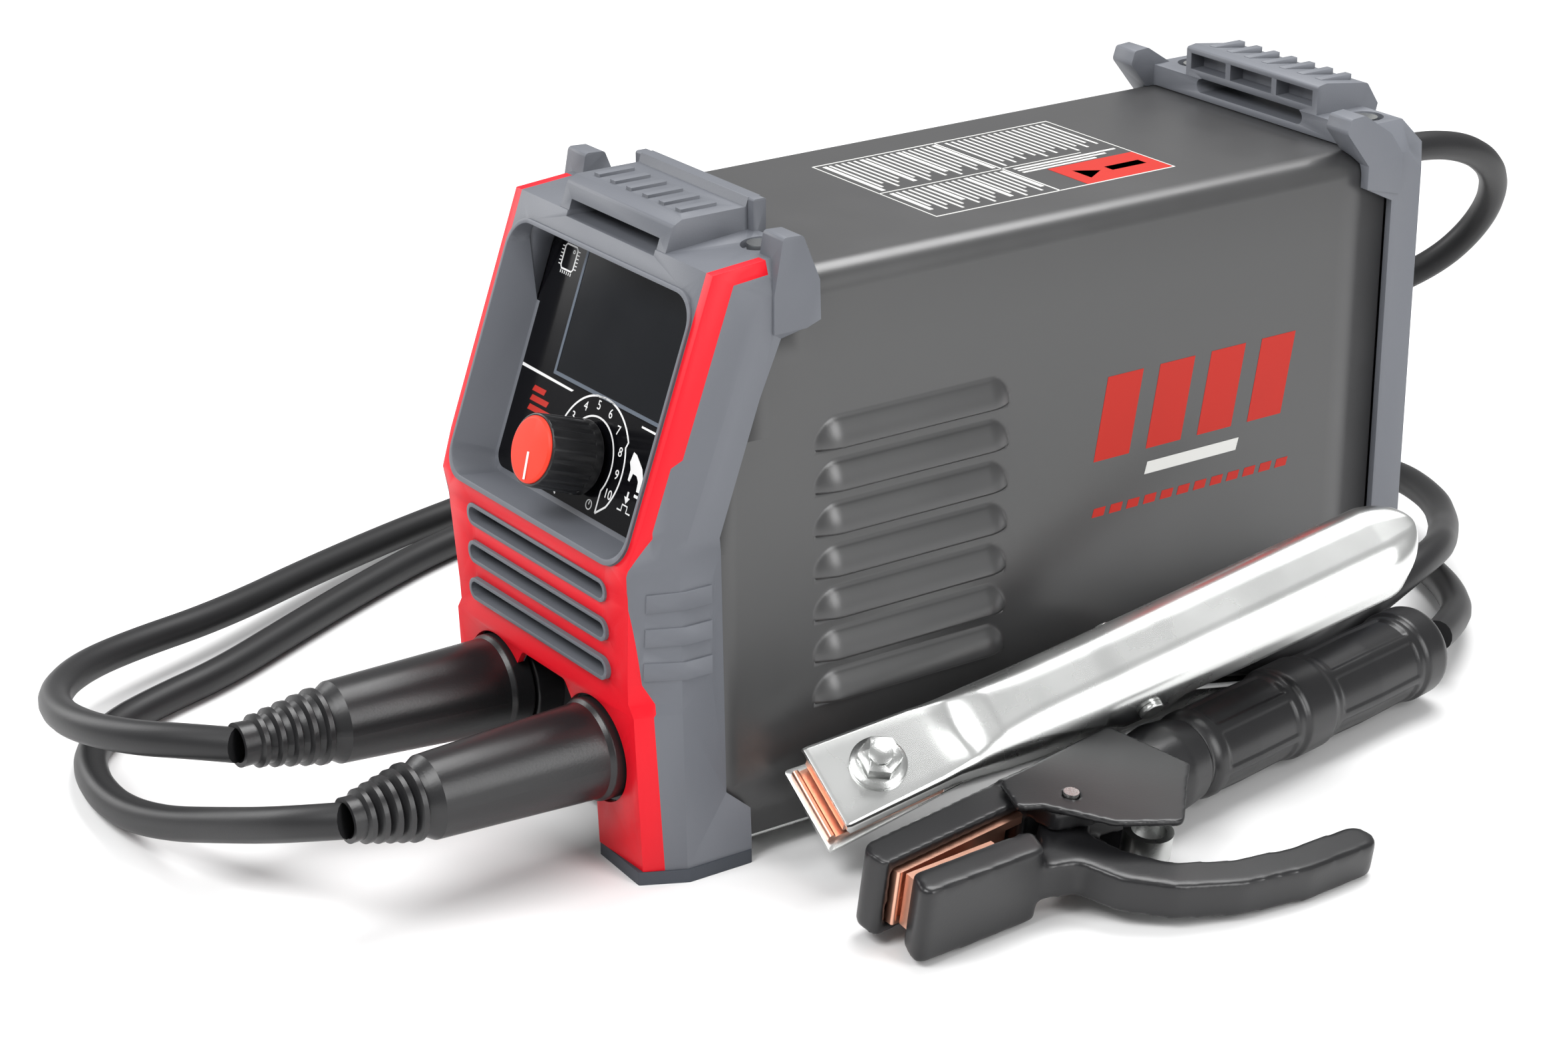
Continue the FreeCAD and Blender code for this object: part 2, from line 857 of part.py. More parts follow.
def forward(x, y, z):
    """A frame on an axis along Y, whose own Z points to the front."""
    return at(x, y, z, Rotation(X_AXIS, 90))


def make_sockets():
    """Weld sockets, their brass contacts, and the plugs that sit in them."""
    spread = size("socket_spread")
    height = size("socket_height")
    contacts = []
    pins = []
    for side, name in ((-1, "left"), (1, "right")):
        x = side * spread
        base = forward(x, -147.2, height)
        socket = turned_solid(
            f"socket_{name}",
            [
                (8.3, -26),
                (12.8, -26),
                (12.8, 1.5),
                (16.4, 1.5),
                (16.4, 11.2, 1),
                (12.9, 11.2),
                (12.9, 3.5),
                (8.3, 3.5),
            ],
        )
        piece(f"socket_{name}", socket, base)
        contact = turned_solid(f"contact_{name}", [(4.9, -22), (8.2, -22), (8.2, 3.0), (4.9, 3.0)])
        contact.Placement = base
        stud = cylinder(f"contact_stud_{name}", 4, 20, forward(x, -147.2 + 44, height))
        back = cylinder(f"contact_back_{name}", 8.2, 3, forward(x, -147.2 + 25, height))
        contacts.append(joined(f"socket_contact_{name}", [contact, stud, back]))
        pin = turned_solid(
            f"pin_{name}",
            [(0, -18), (3.8, -18, 1), (4.6, -15), (4.6, 6), (7.6, 6), (7.6, 26), (0, 26)],
        )
        pin.Placement = base
        pins.append(pin)
        piece(f"plug_boot_{name}", make_boot(name, x))
    piece("socket_contacts", group("socket_contacts", contacts))
    piece("plug_pins", group("plug_pins", pins))


def boot_end(name):
    """Middle of a plug boot's rear end, where its cable comes out."""
    return Vector(-29.5, -258, 42) if name == "left" else Vector(29.5, -252, 38.5)


def make_boot(name, x):
    """Rubber plug boot: flange, tapered grip, and a ribbed strain relief."""
    start = Vector(x, -158.4, size("socket_height"))
    end = boot_end(name)
    length = start.distanceToPoint(end)
    flange = size("boot_radius")
    outline = [
        (7.65, 0),
        (12.6, 0),
        (12.6, 1.2),
        (flange, 1.2, 0.8),
        (flange, 8, 1.2),
        (15.6, 9.5),
        (13.4, 66),
        (11.6, 69),
    ]
    for index in range(5):
        z = 70.5 + index * (length - 74) / 5
        radius = 12.4 - index * 0.95
        outline += [(radius - 1.6, z), (radius, z + 1.0), (radius, z + 2.6), (radius - 1.6, z + 3.4)]
    outline += [
        (7.2, length),
        (size("weld_cable_radius"), length),
        (size("weld_cable_radius"), 20),
        (7.65, 20),
    ]
    boot = turned_solid(f"boot_{name}", outline)
    way = (end - start).normalize()
    boot.Placement = Placement(start, Rotation(Z_AXIS, way))
    return boot


# Control panel -------------------------------------------------------------------


def make_control_panel():
    knob = (size("knob_x"), size("knob_along"))
    thick = size("panel_thickness")
    panel = new_body("control_panel")
    window = rectangle(-24.4, 41.0, 41.6, 83.0, 1.5)
    pad(
        panel,
        "panel_sheet",
        [
            rectangle(-size("panel_half_width"), 4.6, size("panel_half_width"), 85.7, 5.5),
            window,
            circle(knob[0], knob[1], 4.2),
        ],
        "XY_Plane",
        "Sizes.panel_thickness",
        -thick / 2,
    )
    piece("control_panel", panel, on_panel(0, 0, PANEL_SURFACE))

    lens = new_body("display_window")
    pad(lens, "window_sheet", [rectangle(-24.3, 41.1, 41.5, 82.9, 1.4)], "XY_Plane", 1.8, -0.95)
    piece("display_window", lens, on_panel(0, 0, PANEL_SURFACE))

    screen = new_body("display_module")
    pad(screen, "screen_block", [rectangle(-22, 43, 39, 81.5)], "XY_Plane", 4.4, -4.5)
    piece("display_module", screen, on_panel(0, 0, PANEL_SURFACE))

    board = new_body("control_board")
    pad(
        board,
        "board_sheet",
        [rectangle(-40, 8, 40, 82), circle(knob[0], knob[1], 4.2)],
        "XY_Plane",
        1.6,
        -7.9,
    )
    piece("control_board", board, on_panel(0, 0, PANEL_SURFACE))


def make_encoder():
    """Push and turn encoder with its nut, shaft, push plunger and knob."""
    x = size("knob_x")
    along = size("knob_along")
    surface = PANEL_SURFACE
    base = on_panel(x, along, surface)
    bore = size("shaft_radius") + 0.05

    case = rectangle(-6, -6.5, 6, 6.5)
    body = new_body("encoder_body")
    pad(body, "encoder_case", [case, circle(0, 0, bore)], "XY_Plane", 8.0, -12.8)
    pad(body, "encoder_bush", [circle(0, 0, 4.0), circle(0, 0, bore)], "XY_Plane", 11.0, -3.7)
    pad(body, "encoder_back", [case], "XY_Plane", 1.0, -21.6)
    pad(body, "encoder_walls", [case, circle(0, 0, 3.6)], "XY_Plane", 4.4, -19.0)
    piece("encoder_body", body, base)

    hexagon = [
        (6.4 * math.cos(math.radians(60 * step)), 6.4 * math.sin(math.radians(60 * step)))
        for step in range(6)
    ]
    nut = new_body("encoder_nut")
    pad(nut, "nut_plate", [corners_of(hexagon), circle(0, 0, 4.02)], "XY_Plane", 1.7, 0.9)
    piece("encoder_nut", nut, base)

    shaft = cylinder("encoder_shaft", "Sizes.shaft_radius", 33.0, base.multiply(at(0, 0, -16.6)))
    piece("encoder_shaft", shaft)
    plunger = cylinder("encoder_plunger", 3.0, 2.8, base.multiply(at(0, 0, -19.6)))
    piece("encoder_plunger", plunger)

    radius = size("knob_radius")
    length = size("knob_length")
    start = 2.4
    skirt = turned_solid(
        "knob_blank",
        [
            (6.9, 0),
            (radius, 0, 0.6),
            (radius - 0.5, length, 0.5),
            (10.7, length),
            (10.7, length - 2),
            (3.0, length - 2),
            (3.0, 2.2),
            (6.9, 2.2),
        ],
    )
    flutes = []
    count = 20
    for index in range(count):
        angle = math.radians(360 * index / count)
        reach = radius + 0.55
        place = at(reach * math.cos(angle), reach * math.sin(angle), 3)
        flutes.append(cylinder(f"flute_{index}", 1.15, length, place))
    piece("knob_skirt", without("knob_skirt", skirt, flutes), base.multiply(at(0, 0, start)))
    cap = turned_solid(
        "knob_cap",
        [(0, -1.95), (10.6, -1.95), (10.6, 0.4, 0.6), (9.8, 1.0, 0.5), (0, 1.25)],
    )
    piece("knob_cap", cap, base.multiply(at(0, 0, start + length)))


# Inside --------------------------------------------------------------------------


def make_power_stage():
    board = new_body("main_board")
    pad(board, "main_sheet", [rectangle(-50, -116, 50, 96)], "XY_Plane", 1.6, 16.8)
    piece("main_board", board)

    fins = []
    for side in BOTH_SIDES:
        name = f"heatsink_{side + 1}"
        sink = new_body(name)
        outline = [(0, 0), (44, 0), (44, 4)]
        for index in range(6):
            x = 42 - index * 7.5
            outline += [(x, 4), (x, 30), (x - 2, 30), (x - 2, 4)]
        outline += [(0, 4)]
        turned_outline = [(side * (12 + y), 24 + x) for x, y in outline]
        pad(sink, f"{name}_profile", [corners_of(turned_outline)], "XZ_Plane", 120)
        sink.Placement = at(0, -8, 0)
        fins.append(sink)
    piece("heatsinks", group("heatsinks", fins))

    transistors = []
    for side in BOTH_SIDES:
        for index in range(4):
            y = -56 + 28 * index
            low = (6.6, y, 30) if side > 0 else (-11.9, y, 30)
            high = (11.9, y + 16, 51) if side > 0 else (-6.6, y + 16, 51)
            transistors.append(box(f"transistor_{side + 1}_{index}", low, high))
    rectifier = box("rectifier", (-14, -96, 18.4), (14, -74, 40))
    piece("power_semiconductors", group("power_semiconductors", transistors + [rectifier]))

    core = box("core_block", (-27, -60, 76), (27, -10, 118))
    windows = [box("core_window", (-17, -61, 84), (17, -9, 110))]
    winding = prism("winding", [rectangle(-16.6, 84.4, 16.6, 109.6, 4)], 66, upright_xz(-2))
    iron = without("core_iron", core, windows)
    piece("transformer", joined("transformer", [iron, winding]))

    ring = document.addObject("Part::Torus", "inductor")
    bind(ring, Radius1=19.0, Radius2=10.0)
    piece("output_inductor", ring, at(0, 32, 98, turned(Y_AXIS, 90)))

    cans = []
    for index in range(3):
        cans.append(cylinder(f"can_{index}", 12.5, 42, at(-30 + 30 * index, 78, 17.65)))
    piece("capacitors", group("capacitors", cans))


def make_fan():
    half = size("fan_size") / 2
    height = size("fan_height")
    frame = new_body("fan_frame")
    pad(
        frame,
        "fan_case",
        [rectangle(-half, -half, half, half, 4), circle(0, 0, half - 3)],
        "XZ_Plane",
        "Sizes.fan_depth",
    )
    hub = [rectangle(-half + 2, -2.5, half - 2, 2.5), ]
    pad(frame, "fan_strut", hub, "XZ_Plane", 3.0, 11.0)
    pad(frame, "fan_seat", [circle(0, 0, 17)], "XZ_Plane", 3.0, 11.0)
    pad(frame, "fan_pin", [circle(0, 0, 1.5)], "XZ_Plane", 22.0, 0.0)
    frame.Placement = at(0, 132.5, height)
    piece("fan_frame", frame)

    hub_solid = turned_solid(
        "fan_hub",
        [(1.55, -8), (17, -8, 2), (17, 8.4), (1.55, 8.4)],
        forward(0, 132.5, height),
    )
    blades = []
    for index in range(7):
        blade = document.addObject("Part::Box", f"blade_{index}")
        bind(blade, Length=25.5, Width=15.0, Height=1.6)
        spin = Rotation(Y_AXIS, 360 * index / 7)
        tilt = Rotation(X_AXIS, 42)
        lean = Placement(Vector(), spin).multiply(Placement(Vector(16, -5.0, -5.2), tilt))
        blade.Placement = at(0, 132.5, height).multiply(lean)
        blades.append(blade)
    piece("fan_rotor", joined_in_turn("fan_rotor", hub_solid, blades))

    guard = new_body("fan_guard")
    rings = []
    for radius in (12, 20, 28, 36, 44):
        rings.append(circle(0, 0, radius))
        rings.append(circle(0, 0, radius - 2.0))
    pad(guard, "guard_rings", rings[:], "XZ_Plane", 1.8)
    pad(guard, "guard_cross", [rectangle(-46, -1.2, 46, 1.2)], "XZ_Plane", 1.8)
    pad(guard, "guard_post", [rectangle(-1.2, -46, 1.2, 46)], "XZ_Plane", 1.8)
    guard.Placement = at(0, 148.4, height)
    piece("fan_guard", guard)


def make_rear_fittings():
    body = new_body("switch_body")
    pad(
        body,
        "switch_bezel",
        [rectangle(-11.5, -12.5, 11.5, 12.5, 1.5), rectangle(-7.6, -9.4, 7.6, 9.4)],
        "XZ_Plane",
        2.0,
        -1.0,
    )
    pad(
        body,
        "switch_case",
        [rectangle(-9.8, -10.8, 9.8, 10.8), rectangle(-7.6, -9.4, 7.6, 9.4)],
        "XZ_Plane",
        16.0,
        8.0,
    )
    pad(body, "switch_floor", [rectangle(-9.8, -10.8, 9.8, 10.8)], "XZ_Plane", 2.0, 17.0)
    pocket(body, "switch_bearing", [circle(-2.8, 0, 1.55)], "YZ_Plane", 60)
    body.Placement = at(-35, 147.4, 165)
    piece("switch_body", body)

    rocker = prism(
        "rocker",
        [
            corners_of(
                [(-3.0, -7.4), (2.0, -7.8, 0.6), (1.4, 0), (4.4, 7.4, 0.6), (-3.0, 7.4), (-6, 2), (-6, -2)],
            ),
        ],
        14.6,
        at(-42.3, 147.6, 165, Rotation(Y_AXIS, Z_AXIS, X_AXIS, "XYZ")),
    )
    trunnions = cylinder("rocker_trunnions", 1.5, 17.4, at(-43.7, 144.6, 165, turned(Y_AXIS, 90)))
    piece("switch_rocker", joined("rocker_solid", [rocker, trunnions]))

    tip = size("gland_length")
    gland = turned_solid(
        "gland",
        [
            (5.35, 0),
            (8.4, 0),
            (8.4, 4.4),
            (12, 4.4, 0.8),
            (12, 9, 0.8),
            (9.5, 9),
            (9.5, 12, 1),
            (8.2, 13),
            (7.0, tip, 0.8),
            (5.35, tip),
        ],
    )
    piece("cable_gland", gland, at(0, 143.0, size("gland_height"), Rotation(X_AXIS, -90)))

    screws = []
    heads = [(side * 43, -110, 190.2) for side in BOTH_SIDES] + [
        (side * 43.5, 138, 190.2)
        for side in BOTH_SIDES
    ]
    for index, place in enumerate(heads):
        head = cylinder(f"screw_head_{index}", 4.2, 2.8, at(place[0], place[1], 194.6))
        screws.append(head)
    piece("frame_screws", group("frame_screws", screws))


# Cables --------------------------------------------------------------------------

# Routes as points of a loose cable, from the object to its far end.
CLAMP_CABLE = [
    (-29.5, -258, 42),
    (-44, -268, 40.5),
    (-62, -277, 37),
    (-87, -282.5, 32),
    (-113, -281.5, 27),
    (-137, -273, 23),
    (-157, -255, 20),
    (-171, -230, 17),
    (-184, -189, 14),
    (-212, -133, 10),
    (-236, -75, 6.5),
    (-251, -12, 5.8),
    (-256, 50, 5.8),
    (-250, 112, 5.8),
    (-228, 170, 5.8),
    (-186, 216, 5.8),
    (-128, 243, 5.8),
    (-80, 252, 9),
    (-40, 248, 18),
    (-4, 234, 21.5),
    (20, 215, 24),
    (38, 196, 29.5),
    (54, 178, 34.5),
    (64, 158, 36),
    (68, 138, 31.5),
    (67, 119, 22.5),
    (68.3, 101, 18),
    (70.9, 83, 21.2),
    (73.6, 64.5, 26.6),
    (77.2, 46.3, 31.6),
]
HOLDER_CABLE = [
    (29.5, -252, 38.5),
    (20, -260, 36),
    (3, -266, 30),
    (-20, -271, 22),
    (-45, -276, 13.5),
    (-71, -279, 7.5),
    (-96, -277.5, 5.8),
    (-119, -270, 5.8),
    (-136, -254, 5.8),
    (-146, -231, 5.8),
    (-155, -203, 5.8),
    (-173, -168, 5.8),
    (-193, -128, 5.8),
    (-213, -83, 5.8),
    (-226, -30, 5.8),
    (-229, 25, 5.8),
    (-221, 80, 5.8),
    (-201, 130, 5.8),
    (-166, 170, 5.8),
    (-118, 198, 5.8),
    (-64, 216, 5.8),
    (-14, 219, 5.8),
    (26, 208, 6.2),
    (56, 188, 9.5),
    (74, 166, 14.5),
    (83.6, 149, 17.2),
]
MAINS_LEAD = [
    (0, 173.4, 165),
    (0, 197, 166),
    (0, 220, 164.5),
    (-2, 240, 158),
    (-8, 257, 146),
    (-17, 266, 131),
    (-27, 266.5, 116),
    (-37, 260, 103),
    (-50, 247, 92),
    (-62, 233, 78),
    (-73, 219, 62),
    (-82, 206, 44.5),
    (-89, 193, 27.5),
    (-95, 179, 14.5),
    (-101, 162, 7.6),
    (-107, 143, 5.6),
    (-117, 121, 5.4),
    (-130, 104, 5.5),
]
MAINS_TAIL = [
    (-142, -11, 20),
    (-127, -11.8, 19.8),
    (-114, -17.5, 19.5),
    (-105.5, -29, 19.3),
    (-101.5, -43, 19.2),
]
COIL_MIDDLE = Vector(-145, 45, 0)


def cable_tube(name, points, radius):
    """Round tube on straight runs joined by the largest tangent arcs they allow."""
    corners = [Vector(*point) for point in points]
    edges = []
    last = corners[0]
    radii = []
    for index in range(1, len(corners) - 1):
        before = corners[index] - corners[index - 1]
        after = corners[index + 1] - corners[index]
        shorter = min(before.Length, after.Length)
        turn = before.getAngle(after)
        bend = 0.45 * shorter / math.tan(turn / 2)
        reach = 0.45 * shorter
        start = corners[index] - before.normalize() * reach
        end = corners[index] + after.normalize() * reach
        inward = (after - before).normalize()
        middle = corners[index] + inward * (bend / math.cos(turn / 2) - bend)
        edges.append(Part.LineSegment(last, start).toShape())
        edges.append(Part.Arc(start, middle, end).toShape())
        radii.append(bend)
        last = end
    edges.append(Part.LineSegment(last, corners[-1]).toShape())
    spine = Part.Wire(edges)
    ahead = corners[1] - corners[0]
    ring = Part.Wire([Part.Circle(corners[0], ahead, radius).toShape()])
    tube = spine.makePipeShell([ring], True, False)
    expected = math.pi * radius**2 * spine.Length
    ratio = tube.Volume / expected
    print(
        f"{name}: length {spine.Length:.0f} mm, least radius {min(radii):.0f} mm, volume ratio {ratio:.4f}",
    )
    if abs(ratio - 1) > 0.01:
        raise ValueError(f"{name} is not a clean tube")
    item = document.addObject("Part::Feature", name + "_tube")
    item.Shape = tube
    return item


def make_cables():
    weld = size("weld_cable_radius")
    mains = size("mains_cable_radius")
    piece("clamp_cable", cable_tube("clamp_cable", CLAMP_CABLE, weld))
    piece("holder_cable", cable_tube("holder_cable", HOLDER_CABLE, weld))
    lead = cable_tube("mains_lead", MAINS_LEAD, mains)
    tail = cable_tube("mains_tail", MAINS_TAIL, mains)
    outer = size("coil_radius")
    inner = size("coil_hollow")
    high = size("coil_height")
    ring = turned_solid(
        "coil_ring",
        [(inner, 1.0, 4), (outer, 1.0, 4), (outer, high, 4), (inner, high, 4)],
        at(*COIL_MIDDLE),
    )
    piece("mains_coil", ring)
    room = turned_solid(
        "coil_room",
        [(inner, 0.9), (outer, 0.9), (outer, high + 0.1), (inner, high + 0.1)],
        at(*COIL_MIDDLE),
    )
    piece(
        "mains_cable",
        group(
            "mains_cable",
            [without("mains_lead_free", lead, [room]), without("mains_tail_free", tail, [room])],
        ),
    )

    way = Vector(0.2, -0.98, 0).normalize()
    plug_place = Placement(Vector(*MAINS_TAIL[-1]), Rotation(Z_AXIS, way))
    plug = turned_solid(
        "plug_moulding",
        [(0, 0.1), (7, 0.1, 0.8), (9.0, 22), (13.0, 26, 2), (18.0, 38, 3), (18.0, 58, 1), (0, 58)],
    )
    piece("mains_plug", plug, plug_place)
    prongs = []
    for side in BOTH_SIDES:
        prongs.append(cylinder(f"prong_{side + 1}", 2.4, 19, plug_place.multiply(at(side * 9.5, 0, 58.05))))
    piece("mains_plug_pins", group("mains_plug_pins", prongs))

    middle = (inner + outer) / 2
    half = (outer - inner) / 2
    band = [
        rectangle(-half - 2.0, 0.0, half + 2.0, high + 1.6, 4),
        rectangle(-half - 0.7, 0.85, half + 0.7, high + 0.3, 4),
    ]
    tie = prism("tie_band", band, 12, at(0, 0, 0, Rotation(X_AXIS, 90)), back=0.0)
    piece("coil_tie", tie, Placement(COIL_MIDDLE + Vector(-middle, 6, 0), Rotation()))


# Electrode holder ----------------------------------------------------------------


def along_grip(start):
    """A frame on the grip's axis, whose own Z points to the holder's head."""
    return HOLDER_FRAME.multiply(at(start, 0, 0, Rotation(Y_AXIS, 90)))


def holder_plate(name, outline, low, high):
    """A plate in the lever's plane, between two heights above the grip's axis."""
    return prism(name, [corners_of(outline)], high - low, at(0, 0, low))


def make_holder():
    """Electrode holder: grip, head with a fixed cup jaw, sprung lever with a pad jaw."""
    radius = size("grip_radius")
    cable = size("weld_cable_radius")
    grip = turned_solid(
        "grip",
        [
            (cable + 0.05, 0),
            (12.5, 0, 2),
            (15.6, 3),
            (radius, 14),
            (15.2, 16),
            (15.9, 40),
            (15.4, 64),
            (radius, 67),
            (radius, 79),
            (15.0, 82),
            (15.2, 126),
            (14.2, 128),
            (cable + 0.05, 128),
        ],
    )
    piece("holder_grip", grip, along_grip(0))

    # Head: collar and neck, then the fixed cup jaw with its side and end walls.
    collar = turned_solid(
        "holder_collar",
        [(0, 128.05), (14.0, 128.05, 1), (15.4, 139, 1), (13.6, 152, 2), (0, 152)],
        Placement(Vector(), Rotation(Y_AXIS, 90)),
    )
    neck = holder_plate(
        "holder_neck",
        [(150, -12), (206, -12.6), (206, 1.5, 2), (184, 6), (150, 11)],
        -9,
        9,
    )
    cup = holder_plate(
        "holder_cup",
        [(202, -13, 3), (268, -12.4, 6), (268, -0.6, 2), (202, -0.6)],
        -13.2,
        13.2,
    )
    hollow = holder_plate("holder_cup_hollow", [(207, -9), (264.5, -8.6), (264.5, 6), (207, 6)], -9.6, 9.6)
    bore = cylinder("holder_pin_bore", 2.55, 60, at(196, 9.0, -30))
    bosses = []
    for low, high in ((-14.2, -7.4), (7.4, 14.2)):
        bosses.append(
            holder_plate(
                f"holder_cheek_{int(low)}",
                [(176, -12), (206, -12.6), (206, 12, 4), (192, 17, 5), (176, 12)],
                low,
                high,
            ),
        )
    head = without(
        "holder_head",
        joined("holder_head_solid", [collar, neck, cup] + bosses),
        [hollow, bore, lever_room()],
    )
    piece("holder_head", head, HOLDER_FRAME)

    # Two guard plates keep the hand off the jaws.
    upper_guard = [
        (209, -9, 2),
        (215, 4, 2),
        (208, 8, 2),
        (196, 28, 4),
        (178, 40, 4),
        (160, 26, 8),
        (150, 19, 2),
        (155, -12, 2),
    ]
    lower_guard = [(209, -9, 2), (212, 4, 2), (200, 11, 3), (158, 11, 3), (155, -12, 2)]
    plates = [
        holder_plate("guard_low", lower_guard, -16.3, -14.25),
        holder_plate("guard_high", upper_guard, 14.25, 16.4),
    ]
    drilled = without(
        "guard_drilled",
        joined("guard_plates", plates),
        [cylinder("guard_bore", 2.7, 60, at(196, 9.0, -30))],
    )
    piece("holder_guards", drilled, HOLDER_FRAME)

    lever = [
        (213.0, 13.5),
        (263, 8.6, 2),
        (269, 17.5, 3),
        (222, 22.5, 2),
        (210, 27, 4),
        (206, 41, 6),
        (195, 54, 8),
        (176, 65, 12),
        (152, 72, 12),
        (120, 75.5, 5.5),
        (120, 63.6, 5.5),
        (148, 60, 10),
        (170, 53, 12),
        (186, 43, 9),
        (193, 30, 7),
        (195, 18, 4),
        (188, 12, 3),
        (189, 4.5, 3),
        (203, 3.4, 3),
    ]
    arm = holder_plate("lever_arm", lever, -6.0, 6.8)
    pad_block = holder_plate(
        "lever_pad",
        [(216, 11.4, 2), (264, 6.6, 2), (270, 17.6, 3), (221, 22.4, 3)],
        -13.2,
        13.2,
    )
    lever_solid = without(
        "lever_solid",
        joined("lever_joined", [arm, pad_block]),
        [
            cylinder("lever_bore", 2.55, 60, at(196, 9.0, -30)),
            holder_plate("lever_slot", [(226, 6), (262, 3), (263.4, 9.6), (227, 13.2)], -9.2, 9.2),
        ],
    )
    piece("holder_lever", lever_solid, HOLDER_FRAME)

    jaw = without(
        "jaw_blank",
        holder_plate(
            "jaw_block",
            [(208, -8.8, 1), (263.6, -8.4, 3), (263.6, 1.6, 1), (208, 1.6, 1)],
            -9.4,
            9.4,
        ),
        [holder_plate("jaw_groove", [(205, -4.6), (262, -4.2), (262, 3), (205, 3)], -6.6, 6.6)],
    )
    piece("holder_jaw_copper", jaw, HOLDER_FRAME)
    strip = holder_plate("lever_strip", [(227, 5.2), (261.4, 2.4), (262.4, 9.2), (227.6, 12.6)], -9.0, 9.0)
    piece("holder_lever_copper", strip, HOLDER_FRAME)
    pin = turned_solid("pin", [(0, -15.0), (2.5, -15.0), (2.5, 17.4), (0, 17.4)])
    piece("holder_pin", pin, HOLDER_FRAME.multiply(at(196, 9.0, 0)))
    spring = turned_solid("spring", [(5.6, -5), (8.0, -5), (8.0, 5), (5.6, 5)])
    boss = holder_spring_seat()
    piece("holder_spring", spring, HOLDER_FRAME.multiply(boss))


def holder_spring_seat():
    """The torsion spring's middle, in the space between the lever and the neck."""
    return at(176, 26, 0)


def lever_room():
    """Room in the head for the lever's hub over its whole swing."""
    return cylinder("lever_room", 12.5, 14.4, at(196, 9.0, -7.2))


# Earth clamp ---------------------------------------------------------------------


def channel(name, stations, sheet):
    """A pressed channel with its web along the stations (y, web z, half width, flange, shift)."""
    outer = []
    inner = []
    for index, (y, z, half, flange, shift) in enumerate(stations):
        sign = 1 if flange > 0 else -1
        place = Placement(Vector(shift, y, 0), Rotation(X_AXIS, 90))
        edge = 3.2 if index else 2.0
        outer.append(
            sketch(
                f"{name}_outer",
                [corners_of([(-half, z + flange), (half, z + flange), (half, z, edge), (-half, z, edge)])],
                place,
            ),
        )
        deep = z + flange + sign * 0.5
        web = z + sign * sheet
        thin = half - sheet
        inner.append(
            sketch(
                f"{name}_inner",
                [corners_of([(-thin, deep), (thin, deep), (thin, web, edge - 1), (-thin, web, edge - 1)])],
                place,
            ),
        )
    return without(name, loft(f"{name}_loft", outer), [loft(f"{name}_hollow", inner)])


